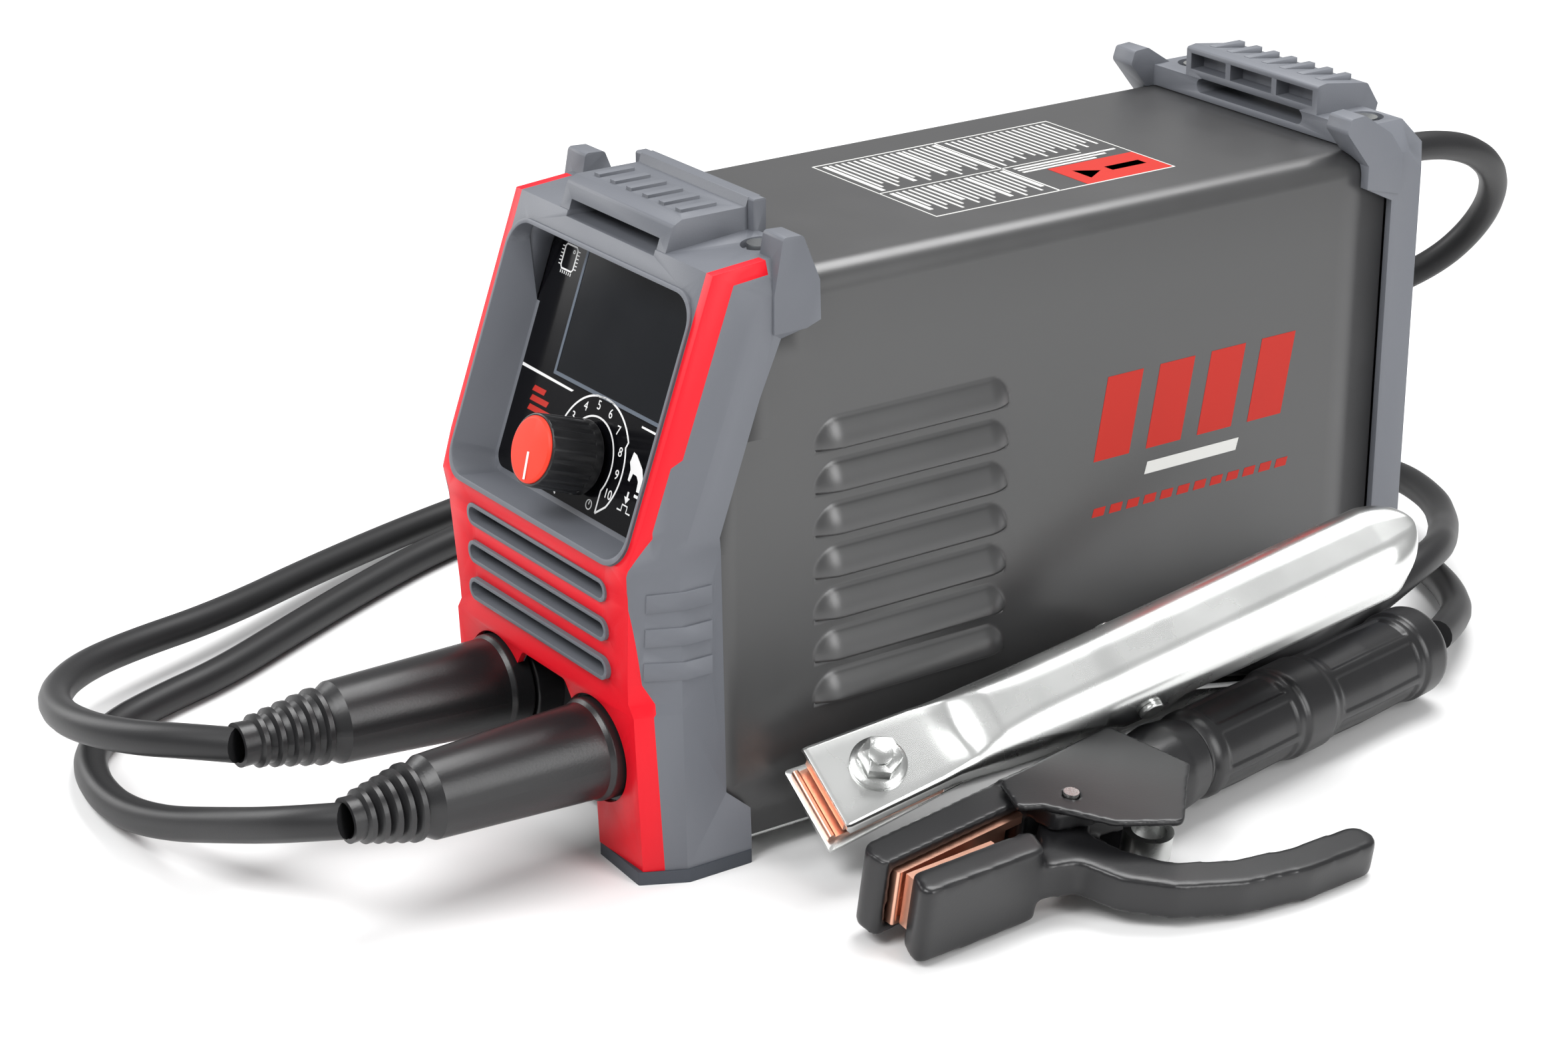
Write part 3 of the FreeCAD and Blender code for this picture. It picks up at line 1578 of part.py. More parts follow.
def make_clamp():
    """Sprung earth clamp: two pressed steel arms on a pivot, with copper strips."""
    half = size("clamp_half_width")
    sheet = size("clamp_sheet")
    stack = size("clamp_stack")
    pivot_y = 112.0
    pivot_z = -10.5

    upper = channel(
        "upper_channel",
        [
            (41, 0, half, -7, 0),
            (70, 2.0, 14.6, -15, 0),
            (150, 8.4, 14.9, -20, 0),
            (212, 13.2, 14.6, -20, 0),
            (217.5, 12.6, 12.6, -17, 0),
        ],
        sheet,
    )
    cap = prism(
        "upper_cap",
        [corners_of([(-12.6, -4), (12.6, -4), (12.6, 12.6, 3), (-12.6, 12.6, 3)])],
        sheet,
        Placement(Vector(0, 217.5, 0), Rotation(X_AXIS, 90)),
    )
    nose = prism(
        "upper_nose",
        [corners_of([(-15.4, 0, 1), (15.4, 0, 1), (half, 41.2), (-half, 41.2)])],
        sheet,
        at(0, 0, -sheet),
    )
    sides = []
    for side in BOTH_SIDES:
        outline = [
            (side * (15.4 - sheet), 2),
            (side * 15.4, 2),
            (side * half, 41.2),
            (side * (half - sheet), 41.2),
        ]
        sides.append(prism(f"upper_side_{side + 1}", [corners_of(outline)], 5.4, at(0, 0, -5.4)))
    bolt_hole = cylinder("upper_bolt_hole", 4.1, 12, at(0, 19, -8))
    pivot_hole = cylinder("upper_pivot_hole", 3.05, 60, at(-30, pivot_y, pivot_z, turned(Y_AXIS, 90)))
    ears = []
    for side in BOTH_SIDES:
        x = 14.6 - sheet if side > 0 else -14.6
        outline = [(100, -8), (124, -8), (118, -17.5, 5), (106, -17.5, 5)]
        ears.append(prism(f"upper_lug_{side + 1}", [corners_of(outline)], sheet, upright_yz(x)))
    arm = without(
        "upper_arm",
        joined("upper_joined", [upper, cap, nose] + sides + ears),
        [bolt_hole, pivot_hole],
    )
    piece("clamp_upper_arm", arm, CLAMP_FRAME)

    low = -stack
    lower_nose = prism(
        "lower_nose",
        [corners_of([(-15.4, -4.8, 1), (15.4, -4.8, 1), (half - 1.6, 45), (-half + 1.6, 45)])],
        sheet,
        at(0, 0, low),
    )
    lower_stations = [
        (44.5, low, half - 1.6, 5, 0),
        (80, low - 9, 11.6, 12, 0),
        (112, low - 19, 11.6, 19, -0.4),
        (139, low - 32, 11.2, 14, -4.0),
        (170, low - 51, 10.1, 8, -5.3),
        (200, low - 70, 7.8, 4.0, -2.6),
    ]
    lower = channel("lower_channel", lower_stations, sheet)
    lower_hole = cylinder("lower_bolt_hole", 4.1, 12, at(0, 19, low - 5))
    lower_pivot = cylinder("lower_pivot_hole", 3.05, 60, at(-30, pivot_y, pivot_z, turned(Y_AXIS, 90)))
    lugs = []
    for side in BOTH_SIDES:
        x = 11.2 - sheet if side > 0 else -12.0
        outline = [(100, -17), (124, -17), (118, -5.0, 5), (106, -5.0, 5)]
        lugs.append(prism(f"lower_lug_{side + 1}", [corners_of(outline)], sheet, upright_yz(x)))
    lower_arm = without(
        "lower_arm",
        joined("lower_joined", [lower_nose, lower] + lugs),
        [lower_hole, lower_pivot],
    )
    piece("clamp_lower_arm", lower_arm, CLAMP_FRAME)

    upper_strip = prism(
        "upper_strip",
        [corners_of([(-12.4, 0.6), (12.4, 0.6), (11.0, 38, 1), (-11.0, 38, 1)])],
        2.2,
        at(0, 0, -sheet - 2.25),
    )
    upper_lip = prism(
        "upper_lip",
        [corners_of([(0.6, -sheet - 1.2), (0.6, -8.2, 1), (3.0, -8.2, 1), (3.0, -sheet - 1.2)])],
        24.8,
        upright_yz(-12.4),
    )
    piece(
        "clamp_upper_copper",
        without(
            "upper_copper",
            joined("upper_copper_solid", [upper_strip, upper_lip]),
            [cylinder("upper_copper_hole", 4.1, 12, at(0, 19, -10))],
        ),
        CLAMP_FRAME,
    )
    lower_strip = prism(
        "lower_strip",
        [rectangle(-12.4, -4.0, 12.4, 38, 1)],
        2.2,
        at(0, 0, low + sheet + 0.05),
    )
    lower_lip = prism(
        "lower_lip",
        [corners_of([(-4.0, low + sheet + 1), (-4.0, -8.7, 1), (-1.6, -8.7, 1), (-1.6, low + sheet + 1)])],
        24.8,
        upright_yz(-12.4),
    )
    piece(
        "clamp_lower_copper",
        without(
            "lower_copper",
            joined("lower_copper_solid", [lower_strip, lower_lip]),
            [cylinder("lower_copper_hole", 4.1, 12, at(0, 19, low - 2))],
        ),
        CLAMP_FRAME,
    )

    pivot = turned_solid(
        "pivot_pin",
        [
            (0, -16.9),
            (4.2, -16.9, 0.8),
            (4.2, -15.0),
            (3.0, -15.0),
            (3.0, 15.0),
            (4.2, 15.0),
            (4.2, 16.9, 0.8),
            (0, 16.9),
        ],
    )
    piece("clamp_pivot", pivot, CLAMP_FRAME.multiply(at(0, pivot_y, pivot_z, turned(Y_AXIS, 90))))
    spring = turned_solid("clamp_coil", [(3.6, -8), (6.4, -8), (6.4, 8), (3.6, 8)])
    piece("clamp_spring", spring, CLAMP_FRAME.multiply(at(0, pivot_y, pivot_z, turned(Y_AXIS, 90))))

    hexagon = [
        (7.0 * math.cos(math.radians(60 * step)), 7.0 * math.sin(math.radians(60 * step)))
        for step in range(6)
    ]

    def bolt(name):
        """A flanged nut outside its jaw plate and a low domed head inside."""
        flange = turned_solid(f"{name}_flange", [(0, 0.02), (9.2, 0.02), (9.2, 1.0), (7.2, 1.9), (0, 1.9)])
        nut = prism(f"{name}_nut", [corners_of(hexagon)], 6.2, at(0, 0, 0.5))
        shank = cylinder(f"{name}_shank", 3.9, 12.2, at(0, 0, -4.4))
        return joined(name, [flange, nut, shank])

    piece("clamp_upper_bolt", bolt("upper_bolt"), CLAMP_FRAME.multiply(at(0, 19, 0)))
    piece(
        "clamp_lower_bolt",
        bolt("lower_bolt"),
        CLAMP_FRAME.multiply(at(0, 19, low, Rotation(X_AXIS, 180))),
    )


# Build, check and write ----------------------------------------------------------

make_front_frame()
piece("red_bezel", bezel_solid("red_bezel_solid"))
make_rear_frame()
make_foot_pads()
make_cover()
make_base_plate()
make_rear_panel()
make_socket_panel()
make_sockets()
make_control_panel()
make_encoder()
make_power_stage()
make_fan()
make_rear_fittings()
make_cables()
make_holder()
make_clamp()
document.recompute()

faults = []
for item in document.Objects:
    if any(word in state for state in item.State for word in ("Invalid", "Error")):
        faults.append(f"{item.Name} ({item.Label}): {item.State}")
labels = [item.Label for item in pieces]
if len(set(labels)) != len(labels) or len(labels) > 60:
    faults.append(f"{len(labels)} sub-parts with repeated labels or too many")
for item in pieces:
    if item.Shape.isNull() or not item.Shape.isValid() or not item.Shape.Solids:
        faults.append(f"{item.Label}: shape is null, not valid or has no solid")
if faults:
    raise ValueError("; ".join(faults))

os.makedirs("parts", exist_ok=True)
for item in pieces:
    item.Shape.exportStep(f"parts/{item.Label}.step")
    limits = item.Shape.BoundBox
    print(
        f"{item.Label}: {len(item.Shape.Solids)} solids, {item.Shape.Volume / 1000:.1f} cm3, "
        f"x {limits.XMin:.1f} {limits.XMax:.1f}, y {limits.YMin:.1f} {limits.YMax:.1f}, z {limits.ZMin:.1f} {limits.ZMax:.1f}"
    )
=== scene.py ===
import json
import math

import bmesh
import bpy
from mathutils import Matrix, Vector


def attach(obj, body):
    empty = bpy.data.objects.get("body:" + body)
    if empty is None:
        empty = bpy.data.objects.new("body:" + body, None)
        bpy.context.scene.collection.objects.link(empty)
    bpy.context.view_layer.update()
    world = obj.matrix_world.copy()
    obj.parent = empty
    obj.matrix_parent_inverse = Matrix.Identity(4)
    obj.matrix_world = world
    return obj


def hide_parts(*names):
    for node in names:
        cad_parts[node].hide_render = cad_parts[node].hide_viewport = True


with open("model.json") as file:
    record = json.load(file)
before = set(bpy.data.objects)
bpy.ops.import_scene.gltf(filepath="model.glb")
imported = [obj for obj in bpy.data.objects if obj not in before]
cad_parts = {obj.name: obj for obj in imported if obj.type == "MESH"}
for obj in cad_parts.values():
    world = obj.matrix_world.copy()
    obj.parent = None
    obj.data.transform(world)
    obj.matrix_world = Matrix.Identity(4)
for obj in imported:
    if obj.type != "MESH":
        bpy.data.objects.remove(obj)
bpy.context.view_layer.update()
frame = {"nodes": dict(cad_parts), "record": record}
NODES = frame["nodes"]
MM = 0.001
BOTH_SIDES = (-1, 1)

# Measures shared with the CAD model, in millimetres ------------------------------

COVER_HALF = 57.0
COVER_TOP = 190.0
COVER_BEND = 8.2
COVER_FRONT = -140.0
COVER_REAR = 136.0
COVER_FOOT = 8.0
SHEET = 1.2
LOUVRE_LOW = 47.3
LOUVRE_PITCH = 14.19
LOUVRE_COUNT = 7
LOUVRE_MIDDLE = -61.7
LOUVRE_LENGTH = 76.0
LOUVRE_RISE = 9.4
LOUVRE_DEPTH = 3.6
SLOPE = math.radians(19.6)
PANEL_ORIGIN = Vector((0, -163.5, 106.0))
PANEL_IN = 7.5
KNOB_X = 5.0
KNOB_ALONG = 22.3
WELD_DIAMETER = 11.3
MAINS_DIAMETER = 10.6

# Places: the control face, the clamp and the holder each have a frame of their own.
ACROSS = Vector((1, 0, 0))
UP_SLOPE = Vector((0, math.sin(SLOPE), math.cos(SLOPE)))
PANEL_OUT = ACROSS.cross(UP_SLOPE)


def axes(origin, x_way, y_way):
    """A placement from its origin and two of its directions, in millimetres."""
    x_way = x_way.normalized()
    y_way = (y_way - x_way * y_way.dot(x_way)).normalized()
    z_way = x_way.cross(y_way)
    turn = Matrix((x_way, y_way, z_way)).transposed().to_4x4()
    return Matrix.Translation(origin) @ turn


PANEL = axes(PANEL_ORIGIN - PANEL_OUT * PANEL_IN, ACROSS, UP_SLOPE)
CLAMP_NOSE = Vector((81.5, -112.8, 31.4))
CLAMP_ACROSS = Vector((0.820, -0.009, -0.572))
CLAMP_ALONG = Vector((0.159, 0.964, 0.213))
CLAMP = axes(CLAMP_NOSE, CLAMP_ACROSS, CLAMP_ALONG)
HOLDER_TILT = math.radians(8.6)
HOLDER_WAY = Vector((0.168, -0.986, 0)).normalized()
LEVER_WAY = Vector(
    (
        -HOLDER_WAY.y * math.cos(HOLDER_TILT),
        HOLDER_WAY.x * math.cos(HOLDER_TILT),
        -math.sin(HOLDER_TILT),
    )
)
HOLDER = axes(Vector((86.0, 137.0, 17.3)), HOLDER_WAY, LEVER_WAY)

# Camera, light and floor ---------------------------------------------------------

CAMERA_PLACE = (0.8821, -0.6873, 0.5168)
CAMERA_DIP = 21.93
CAMERA_TURN = 55.07
FOCAL_LENGTH = 81.2
FLOOR_REACH = 6.0

# Each lamp: place, target and size in metres, and power in watts.
LAMPS = {
    "key": ((0.2, -1.1, 1.3), (0, 0, 0.1), (0.9, 0.7), 19),
    "side": ((1.3, 0.2, 0.7), (0.1, 0, 0.08), (0.5, 1.0), 11),
    "top": ((-0.2, 0.5, 1.4), (0, 0, 0.1), (0.9, 0.9), 21),
    "left": ((-1.2, -0.6, 0.6), (0, 0, 0.1), (0.6, 0.8), 8),
}


def make_camera():
    """A camera on the right in front of the machine, looking down at it."""
    lens = bpy.data.cameras.new("camera")
    lens.lens = FOCAL_LENGTH
    lens.sensor_width = 36.0
    lens.clip_start = 0.01
    camera = bpy.data.objects.new("camera", lens)
    camera.location = CAMERA_PLACE
    camera.rotation_euler = (math.radians(90 - CAMERA_DIP), 0, math.radians(CAMERA_TURN))
    bpy.context.collection.objects.link(camera)
    bpy.context.scene.camera = camera


def make_lamp(name, place, target, size, power):
    """A rectangular soft lamp that looks at its target."""
    light = bpy.data.lights.new(name, "AREA")
    light.shape = "RECTANGLE"
    light.size = size[0]
    light.size_y = size[1]
    light.energy = power
    lamp = bpy.data.objects.new(name, light)
    lamp.location = place
    way = Vector(target) - Vector(place)
    lamp.rotation_euler = way.to_track_quat("-Z", "Y").to_euler()
    bpy.context.collection.objects.link(lamp)


def make_stage():
    """A white room's light, four soft lamps and a pale floor."""
    world = bpy.data.worlds.new("studio")
    world.use_nodes = True
    background = world.node_tree.nodes["Background"]
    background.inputs["Color"].default_value = (1, 1, 1, 1)
    background.inputs["Strength"].default_value = 0.42
    bpy.context.scene.world = world
    bpy.context.scene.view_settings.view_transform = "Standard"
    for name, (place, target, size, power) in LAMPS.items():
        make_lamp(name, place, target, size, power)

    mesh = bpy.data.meshes.new("floor")
    corners = [(x * FLOOR_REACH, y * FLOOR_REACH, 0) for x, y in ((-1, -1), (1, -1), (1, 1), (-1, 1))]
    mesh.from_pydata(corners, [], [(0, 1, 2, 3)])
    floor = bpy.data.objects.new("floor", mesh)
    bpy.context.collection.objects.link(floor)
    material = bpy.data.materials.new("floor")
    material.use_nodes = True
    shader = material.node_tree.nodes["Principled BSDF"]
    shader.inputs["Base Color"].default_value = (0.86, 0.86, 0.86, 1)
    shader.inputs["Roughness"].default_value = 0.6
    mesh.materials.append(material)


# Materials -----------------------------------------------------------------------


def surface(name, color, roughness, grain=0.5, depth=0.0, mottle=0.0, metallic=0.0, wear=0.0, specular=0.5):
    """A procedural finish: grain in mm as bump, mottled colour and gloss, lighter worn edges."""
    material = bpy.data.materials.new(name)
    material.use_nodes = True
    nodes = material.node_tree.nodes
    links = material.node_tree.links
    shader = nodes["Principled BSDF"]
    shader.inputs["Metallic"].default_value = metallic
    shader.inputs["Specular IOR Level"].default_value = specular
    place = nodes.new("ShaderNodeTexCoord")

    blotch = nodes.new("ShaderNodeTexNoise")
    blotch.inputs["Scale"].default_value = 38.0
    blotch.inputs["Detail"].default_value = 5.0
    links.new(place.outputs["Object"], blotch.inputs["Vector"])
    tone = nodes.new("ShaderNodeMix")
    tone.data_type = "RGBA"
    dark = [c * (1 - mottle) for c in color]
    light = [min(1.0, c * (1 + mottle)) for c in color]
    tone.inputs["A"].default_value = (*dark, 1)
    tone.inputs["B"].default_value = (*light, 1)
    links.new(blotch.outputs["Fac"], tone.inputs["Factor"])
    base = tone.outputs["Result"]
    if wear > 0:
        geometry = nodes.new("ShaderNodeNewGeometry")
        edge = nodes.new("ShaderNodeMapRange")
        edge.inputs["From Min"].default_value = 0.52
        edge.inputs["From Max"].default_value = 0.62
        edge.inputs["To Max"].default_value = wear
        links.new(geometry.outputs["Pointiness"], edge.inputs["Value"])
        worn = nodes.new("ShaderNodeMix")
        worn.data_type = "RGBA"
        worn.inputs["B"].default_value = (*[min(1.0, c * 1.5 + 0.06) for c in color], 1)
        links.new(edge.outputs["Result"], worn.inputs["Factor"])
        links.new(base, worn.inputs["A"])
        base = worn.outputs["Result"]
    links.new(base, shader.inputs["Base Color"])

    gloss = nodes.new("ShaderNodeMapRange")
    gloss.inputs["To Min"].default_value = max(0.02, roughness - 0.06)
    gloss.inputs["To Max"].default_value = min(1.0, roughness + 0.06)
    links.new(blotch.outputs["Fac"], gloss.inputs["Value"])
    links.new(gloss.outputs["Result"], shader.inputs["Roughness"])

    if depth > 0:
        fine = nodes.new("ShaderNodeTexNoise")
        fine.inputs["Scale"].default_value = 1.0 / (grain * MM)
        fine.inputs["Detail"].default_value = 2.0
        links.new(place.outputs["Object"], fine.inputs["Vector"])
        bump = nodes.new("ShaderNodeBump")
        bump.inputs["Distance"].default_value = depth * MM
        bump.inputs["Strength"].default_value = 1.0
        links.new(fine.outputs["Fac"], bump.inputs["Height"])
        links.new(bump.outputs["Normal"], shader.inputs["Normal"])
    return material


# Each finish: its name, colour, roughness, and then what surface() takes by name.
FINISHES = {
    "grey": (
        "grey_plastic",
        (0.112, 0.119, 0.136),
        0.50,
        dict(grain=0.55, depth=0.03, mottle=0.05, wear=0.2, specular=0.4),
    ),
    "red": (
        "red_plastic",
        (0.66, 0.004, 0.014),
        0.42,
        dict(grain=0.6, depth=0.02, mottle=0.04, wear=0.1, specular=0.25),
    ),
    "cover": (
        "cover_paint",
        (0.034, 0.034, 0.035),
        0.36,
        dict(grain=0.9, depth=0.012, mottle=0.06, specular=0.85),
    ),
    "foot": (
        "foot_rubber",
        (0.050, 0.056, 0.068),
        0.62,
        dict(grain=0.5, depth=0.04, mottle=0.08, specular=0.3),
    ),
    "rubber": (
        "cable_rubber",
        (0.014, 0.014, 0.015),
        0.44,
        dict(grain=0.7, depth=0.03, mottle=0.15, specular=0.35),
    ),
    "boot": (
        "boot_rubber",
        (0.012, 0.012, 0.013),
        0.34,
        dict(grain=0.8, depth=0.03, mottle=0.15, specular=0.5),
    ),
    "black": (
        "black_plastic",
        (0.009, 0.009, 0.010),
        0.33,
        dict(grain=0.9, depth=0.02, mottle=0.12, wear=0.08, specular=0.5),
    ),
    "gloss": ("panel_gloss", (0.003, 0.003, 0.004), 0.14, dict(mottle=0.1, specular=0.2)),
    "window": ("window_gloss", (0.004, 0.005, 0.007), 0.08, dict(mottle=0.1, specular=0.3)),
    "zinc": ("zinc_sheet", (0.74, 0.75, 0.74), 0.27, dict(mottle=0.03, metallic=1.0)),
    "steel": (
        "zinc_steel",
        (0.55, 0.56, 0.55),
        0.28,
        dict(grain=0.8, depth=0.02, mottle=0.08, metallic=1.0),
    ),
    "copper": (
        "copper",
        (0.80, 0.44, 0.32),
        0.34,
        dict(grain=1.2, depth=0.03, mottle=0.10, metallic=1.0),
    ),
    "brass": (
        "brass",
        (0.72, 0.52, 0.22),
        0.3,
        dict(grain=0.8, depth=0.02, mottle=0.08, metallic=1.0),
    ),
    "aluminium": (
        "aluminium",
        (0.75, 0.76, 0.78),
        0.35,
        dict(grain=0.6, depth=0.02, mottle=0.05, metallic=1.0),
    ),
    "board": ("circuit_board", (0.02, 0.16, 0.06), 0.35, dict(grain=1.5, depth=0.02, mottle=0.2)),
    "ferrite": ("ferrite", (0.05, 0.05, 0.052), 0.7, dict(grain=0.5, depth=0.04, mottle=0.1)),
    "epoxy": ("component_black", (0.03, 0.03, 0.032), 0.3, dict(grain=1.0, depth=0.02, mottle=0.1)),
    "knob_red": (
        "knob_red",
        (0.80, 0.040, 0.018),
        0.45,
        dict(grain=0.4, depth=0.02, mottle=0.05, specular=0.25),
    ),
    "white": ("white_print", (0.80, 0.80, 0.80), 0.5, dict(mottle=0.03)),
    "print_red": ("red_print", (0.44, 0.022, 0.014), 0.5, dict(mottle=0.05, specular=0.2)),
    "border": ("border_print", (0.10, 0.12, 0.15), 0.4, dict(mottle=0.03, specular=0.2)),
    "label": ("label_print", (0.62, 0.62, 0.60), 0.5, dict(mottle=0.03)),
}


def make_materials():
    """Every finish of the table, by its key."""
    finish = {}
    for key, (name, color, roughness, options) in FINISHES.items():
        finish[key] = surface(name, color, roughness, **options)
    return finish


NODES_BY_FINISH = {
    "grey": ["front_frame", "rear_frame"],
    "red": ["red_bezel"],
    "foot": ["foot_pads"],
    "zinc": ["base_plate", "clamp_upper_arm", "clamp_lower_arm"],
    "cover": ["rear_panel", "cover"],
    "black": [
        "socket_panel",
        "socket_left",
        "socket_right",
        "encoder_plunger",
        "knob_skirt",
        "fan_frame",
        "fan_rotor",
        "switch_body",
        "switch_rocker",
        "cable_gland",
        "coil_tie",
        "holder_grip",
        "holder_head",
        "holder_guards",
        "holder_lever",
    ],
    "boot": ["plug_boot_left", "plug_boot_right"],
    "brass": ["socket_contacts", "plug_pins"],
    "gloss": ["control_panel"],
    "window": ["display_window"],
    "epoxy": ["display_module", "power_semiconductors", "capacitors"],
    "board": ["control_board", "main_board"],
    "steel": [
        "encoder_body",
        "encoder_nut",
        "encoder_shaft",
        "fan_guard",
        "frame_screws",
        "mains_plug_pins",
        "holder_pin",
        "holder_spring",
        "clamp_pivot",
        "clamp_spring",
        "clamp_upper_bolt",
        "clamp_lower_bolt",
    ],
    "knob_red": ["knob_cap"],
    "aluminium": ["heatsinks"],
    "ferrite": ["transformer"],
    "copper": [
        "output_inductor",
        "holder_jaw_copper",
        "holder_lever_copper",
        "clamp_upper_copper",
        "clamp_lower_copper",
    ],
    "rubber": ["clamp_cable", "holder_cable", "mains_coil", "mains_cable", "mains_plug"],
}


def body_of_node(node):
    """The moving body, or the machine itself, that a CAD node belongs to."""
    for body, members in frame["record"]["behaviour"]["bodies"].items():
        if node in members:
            return body
    raise ValueError(node)


def dress_cad_nodes(finish):
    """Gives every CAD node its finish, shown wherever no other piece stands for the node."""
    for name, nodes in NODES_BY_FINISH.items():
        for node in nodes:
            mesh = NODES[node].data
            mesh.materials.clear()
            mesh.materials.append(finish[name])


# Mesh helpers --------------------------------------------------------------------


def new_piece(name, mesh, material, body="machine"):
    """An object of one material that rides on a body."""
    piece = bpy.data.objects.new(name, mesh)
    bpy.context.collection.objects.link(piece)
    mesh.materials.clear()
    mesh.materials.append(material)
    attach(piece, body)
    return piece


def smooth(mesh):
    """Shades a mesh's faces as one curved surface."""
    for polygon in mesh.polygons:
        polygon.use_smooth = True


def mesh_from(name, work):
    """A mesh whose faces look outwards, and the end of its working copy."""
    bmesh.ops.recalc_face_normals(work, faces=work.faces)
    mesh = bpy.data.meshes.new(name)
    work.to_mesh(mesh)
    work.free()
    return mesh


def with_modifiers(piece):
    """Writes what a piece's modifiers make into its mesh."""
    bpy.context.view_layer.update()
    graph = bpy.context.evaluated_depsgraph_get()
    made = bpy.data.meshes.new_from_object(piece.evaluated_get(graph), depsgraph=graph)
    piece.modifiers.clear()
    piece.data = made


def softened(node, width, material):
    """The CAD node's shape with edges rounded over a width in mm, standing for the node."""
    mesh = NODES[node].data.copy()
    work = bmesh.new()
    work.from_mesh(mesh)
    bmesh.ops.remove_doubles(work, verts=work.verts, dist=0.01 * MM)
    bmesh.ops.dissolve_limit(work, angle_limit=math.radians(0.4), verts=work.verts, edges=work.edges)
    bmesh.ops.triangulate(work, faces=[face for face in work.faces if len(face.verts) > 4])
    work.to_mesh(mesh)
    work.free()
    piece = new_piece(node + "_finished", mesh, material, body_of_node(node))
    smooth(mesh)
    bevel = piece.modifiers.new("edges", "BEVEL")
    bevel.width = width * MM
    bevel.segments = 2
    bevel.limit_method = "ANGLE"
    bevel.angle_limit = math.radians(32)
    bevel.harden_normals = True
    bevel.miter_outer = "MITER_ARC"
    with_modifiers(piece)
    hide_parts(node)


def moulded(node, material, voxel, rounds):
    """The CAD node as a moulding with every edge well rounded, standing for the node."""
    mesh = NODES[node].data.copy()
    piece = new_piece(node + "_moulded", mesh, material, body_of_node(node))
    skin = piece.modifiers.new("skin", "REMESH")
    skin.mode = "VOXEL"
    skin.voxel_size = voxel * MM
    rounding = piece.modifiers.new("rounding", "SMOOTH")
    rounding.factor = 0.5
    rounding.iterations = rounds
    with_modifiers(piece)
    smooth(piece.data)
    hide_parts(node)


# Cover ---------------------------------------------------------------------------


LOUVRE_END = 9.0
LOUVRE_STEPS = 12
BEND_STEPS = 8


def louvre_bulge(along, rise):
    """How far a hood stands out, 0 to 1: along its length and up from its open edge."""
    over = max(0.0, abs(along) - (LOUVRE_LENGTH / 2 - LOUVRE_END)) / LOUVRE_END
    far = math.sqrt(over**2 + rise**2)
    if far >= 1.0:
        return 0.0
    return math.cos(far * math.pi / 2) ** 0.75


def cover_columns():
    """Places along the cover, close together where the louvres' ends are round."""
    start = LOUVRE_MIDDLE - LOUVRE_LENGTH / 2
    end = LOUVRE_MIDDLE + LOUVRE_LENGTH / 2
    steps = [0.75 * index for index in range(16)]
    columns = [COVER_FRONT, -128.0, -115.0, start - 2.0, start - 0.7, end + 0.7, end + 2.0]
    columns += [start + step for step in steps]
    columns += [start + 12 + (LOUVRE_LENGTH - 24) * index / 8 for index in range(9)]
    columns += [end - step for step in steps]
    columns += [0.0, 30.0, 60.0, 90.0, 115.0, COVER_REAR]
    return sorted(set(round(y, 4) for y in columns))


def cover_section():
    """Points (x, z) across the cover, each with its rise within a louvre or None."""
    rows = [(COVER_FOOT, None), (28.0, None)]
    for index in range(LOUVRE_COUNT):
        low = LOUVRE_LOW + index * LOUVRE_PITCH
        rows += [(low - 2.0, None), (low, None)]
        for step in range(LOUVRE_STEPS + 1):
            rise = step / LOUVRE_STEPS
            rows.append((low + LOUVRE_RISE * rise, rise))
        rows.append((low + LOUVRE_RISE + 1.0, None))
    rows += [(160.0, None), (COVER_TOP - COVER_BEND, None)]
    section = [((COVER_HALF, height), rise) for height, rise in rows]
    for step in range(1, BEND_STEPS + 1):
        turn = math.pi / 2 * step / BEND_STEPS
        x = COVER_HALF - COVER_BEND + COVER_BEND * math.cos(turn)
        z = COVER_TOP - COVER_BEND + COVER_BEND * math.sin(turn)
        section.append(((x, z), None))
    mirrored = [((-x, z), rise) for (x, z), rise in reversed(section)]
    return section + [((0.0, COVER_TOP), None)] + mirrored


def make_cover(finish):
    """Folded sheet with pressed louvres: a grid over the U-shaped section."""
    columns = cover_columns()
    section = cover_section()
    work = bmesh.new()
    grid = []
    for (x, z), rise in section:
        side = 1 if x > 0 else -1
        line = []
        for y in columns:
            out = 0.0 if rise is None else LOUVRE_DEPTH * louvre_bulge(y - LOUVRE_MIDDLE, rise)
            line.append(work.verts.new(((x + side * out) * MM, y * MM, z * MM)))
        grid.append(line)
    for row, (below, above) in enumerate(zip(grid, grid[1:])):
        # Two rows at one place are a louvre's open edge.
        if section[row][0] == section[row + 1][0]:
            continue
        for column in range(len(columns) - 1):
            after = column + 1
            work.faces.new((below[column], below[after], above[after], above[column]))
    bmesh.ops.remove_doubles(work, verts=work.verts, dist=0.002 * MM)
    trim_cover_front(work)
    bmesh.ops.recalc_face_normals(work, faces=work.faces)
    top = max(work.faces, key=lambda face: face.calc_center_median().z)
    if top.normal.z < 0:
        bmesh.ops.reverse_faces(work, faces=work.faces)
    mesh = bpy.data.meshes.new("cover_sheet")
    work.to_mesh(mesh)
    work.free()
    smooth(mesh)
    cover = new_piece("cover_sheet", mesh, finish["cover"])
    thick = cover.modifiers.new("thickness", "SOLIDIFY")
    thick.thickness = SHEET * MM
    thick.offset = -1.0
    thick.use_even_offset = True
    with_modifiers(cover)
    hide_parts("cover")


def trim_cover_front(work):
    """Cuts the sheet back along the sloped front frame."""
    low = Vector((0, -138.0, 112.0)) * MM
    high = Vector((0, -109.0, 195.0)) * MM
    way = high - low
    normal = Vector((0, -way.z, way.y)).normalized()
    geometry = list(work.verts) + list(work.edges) + list(work.faces)
    bmesh.ops.bisect_plane(work, geom=geometry, plane_co=low, plane_no=normal, clear_outer=True)


# Cables --------------------------------------------------------------------------

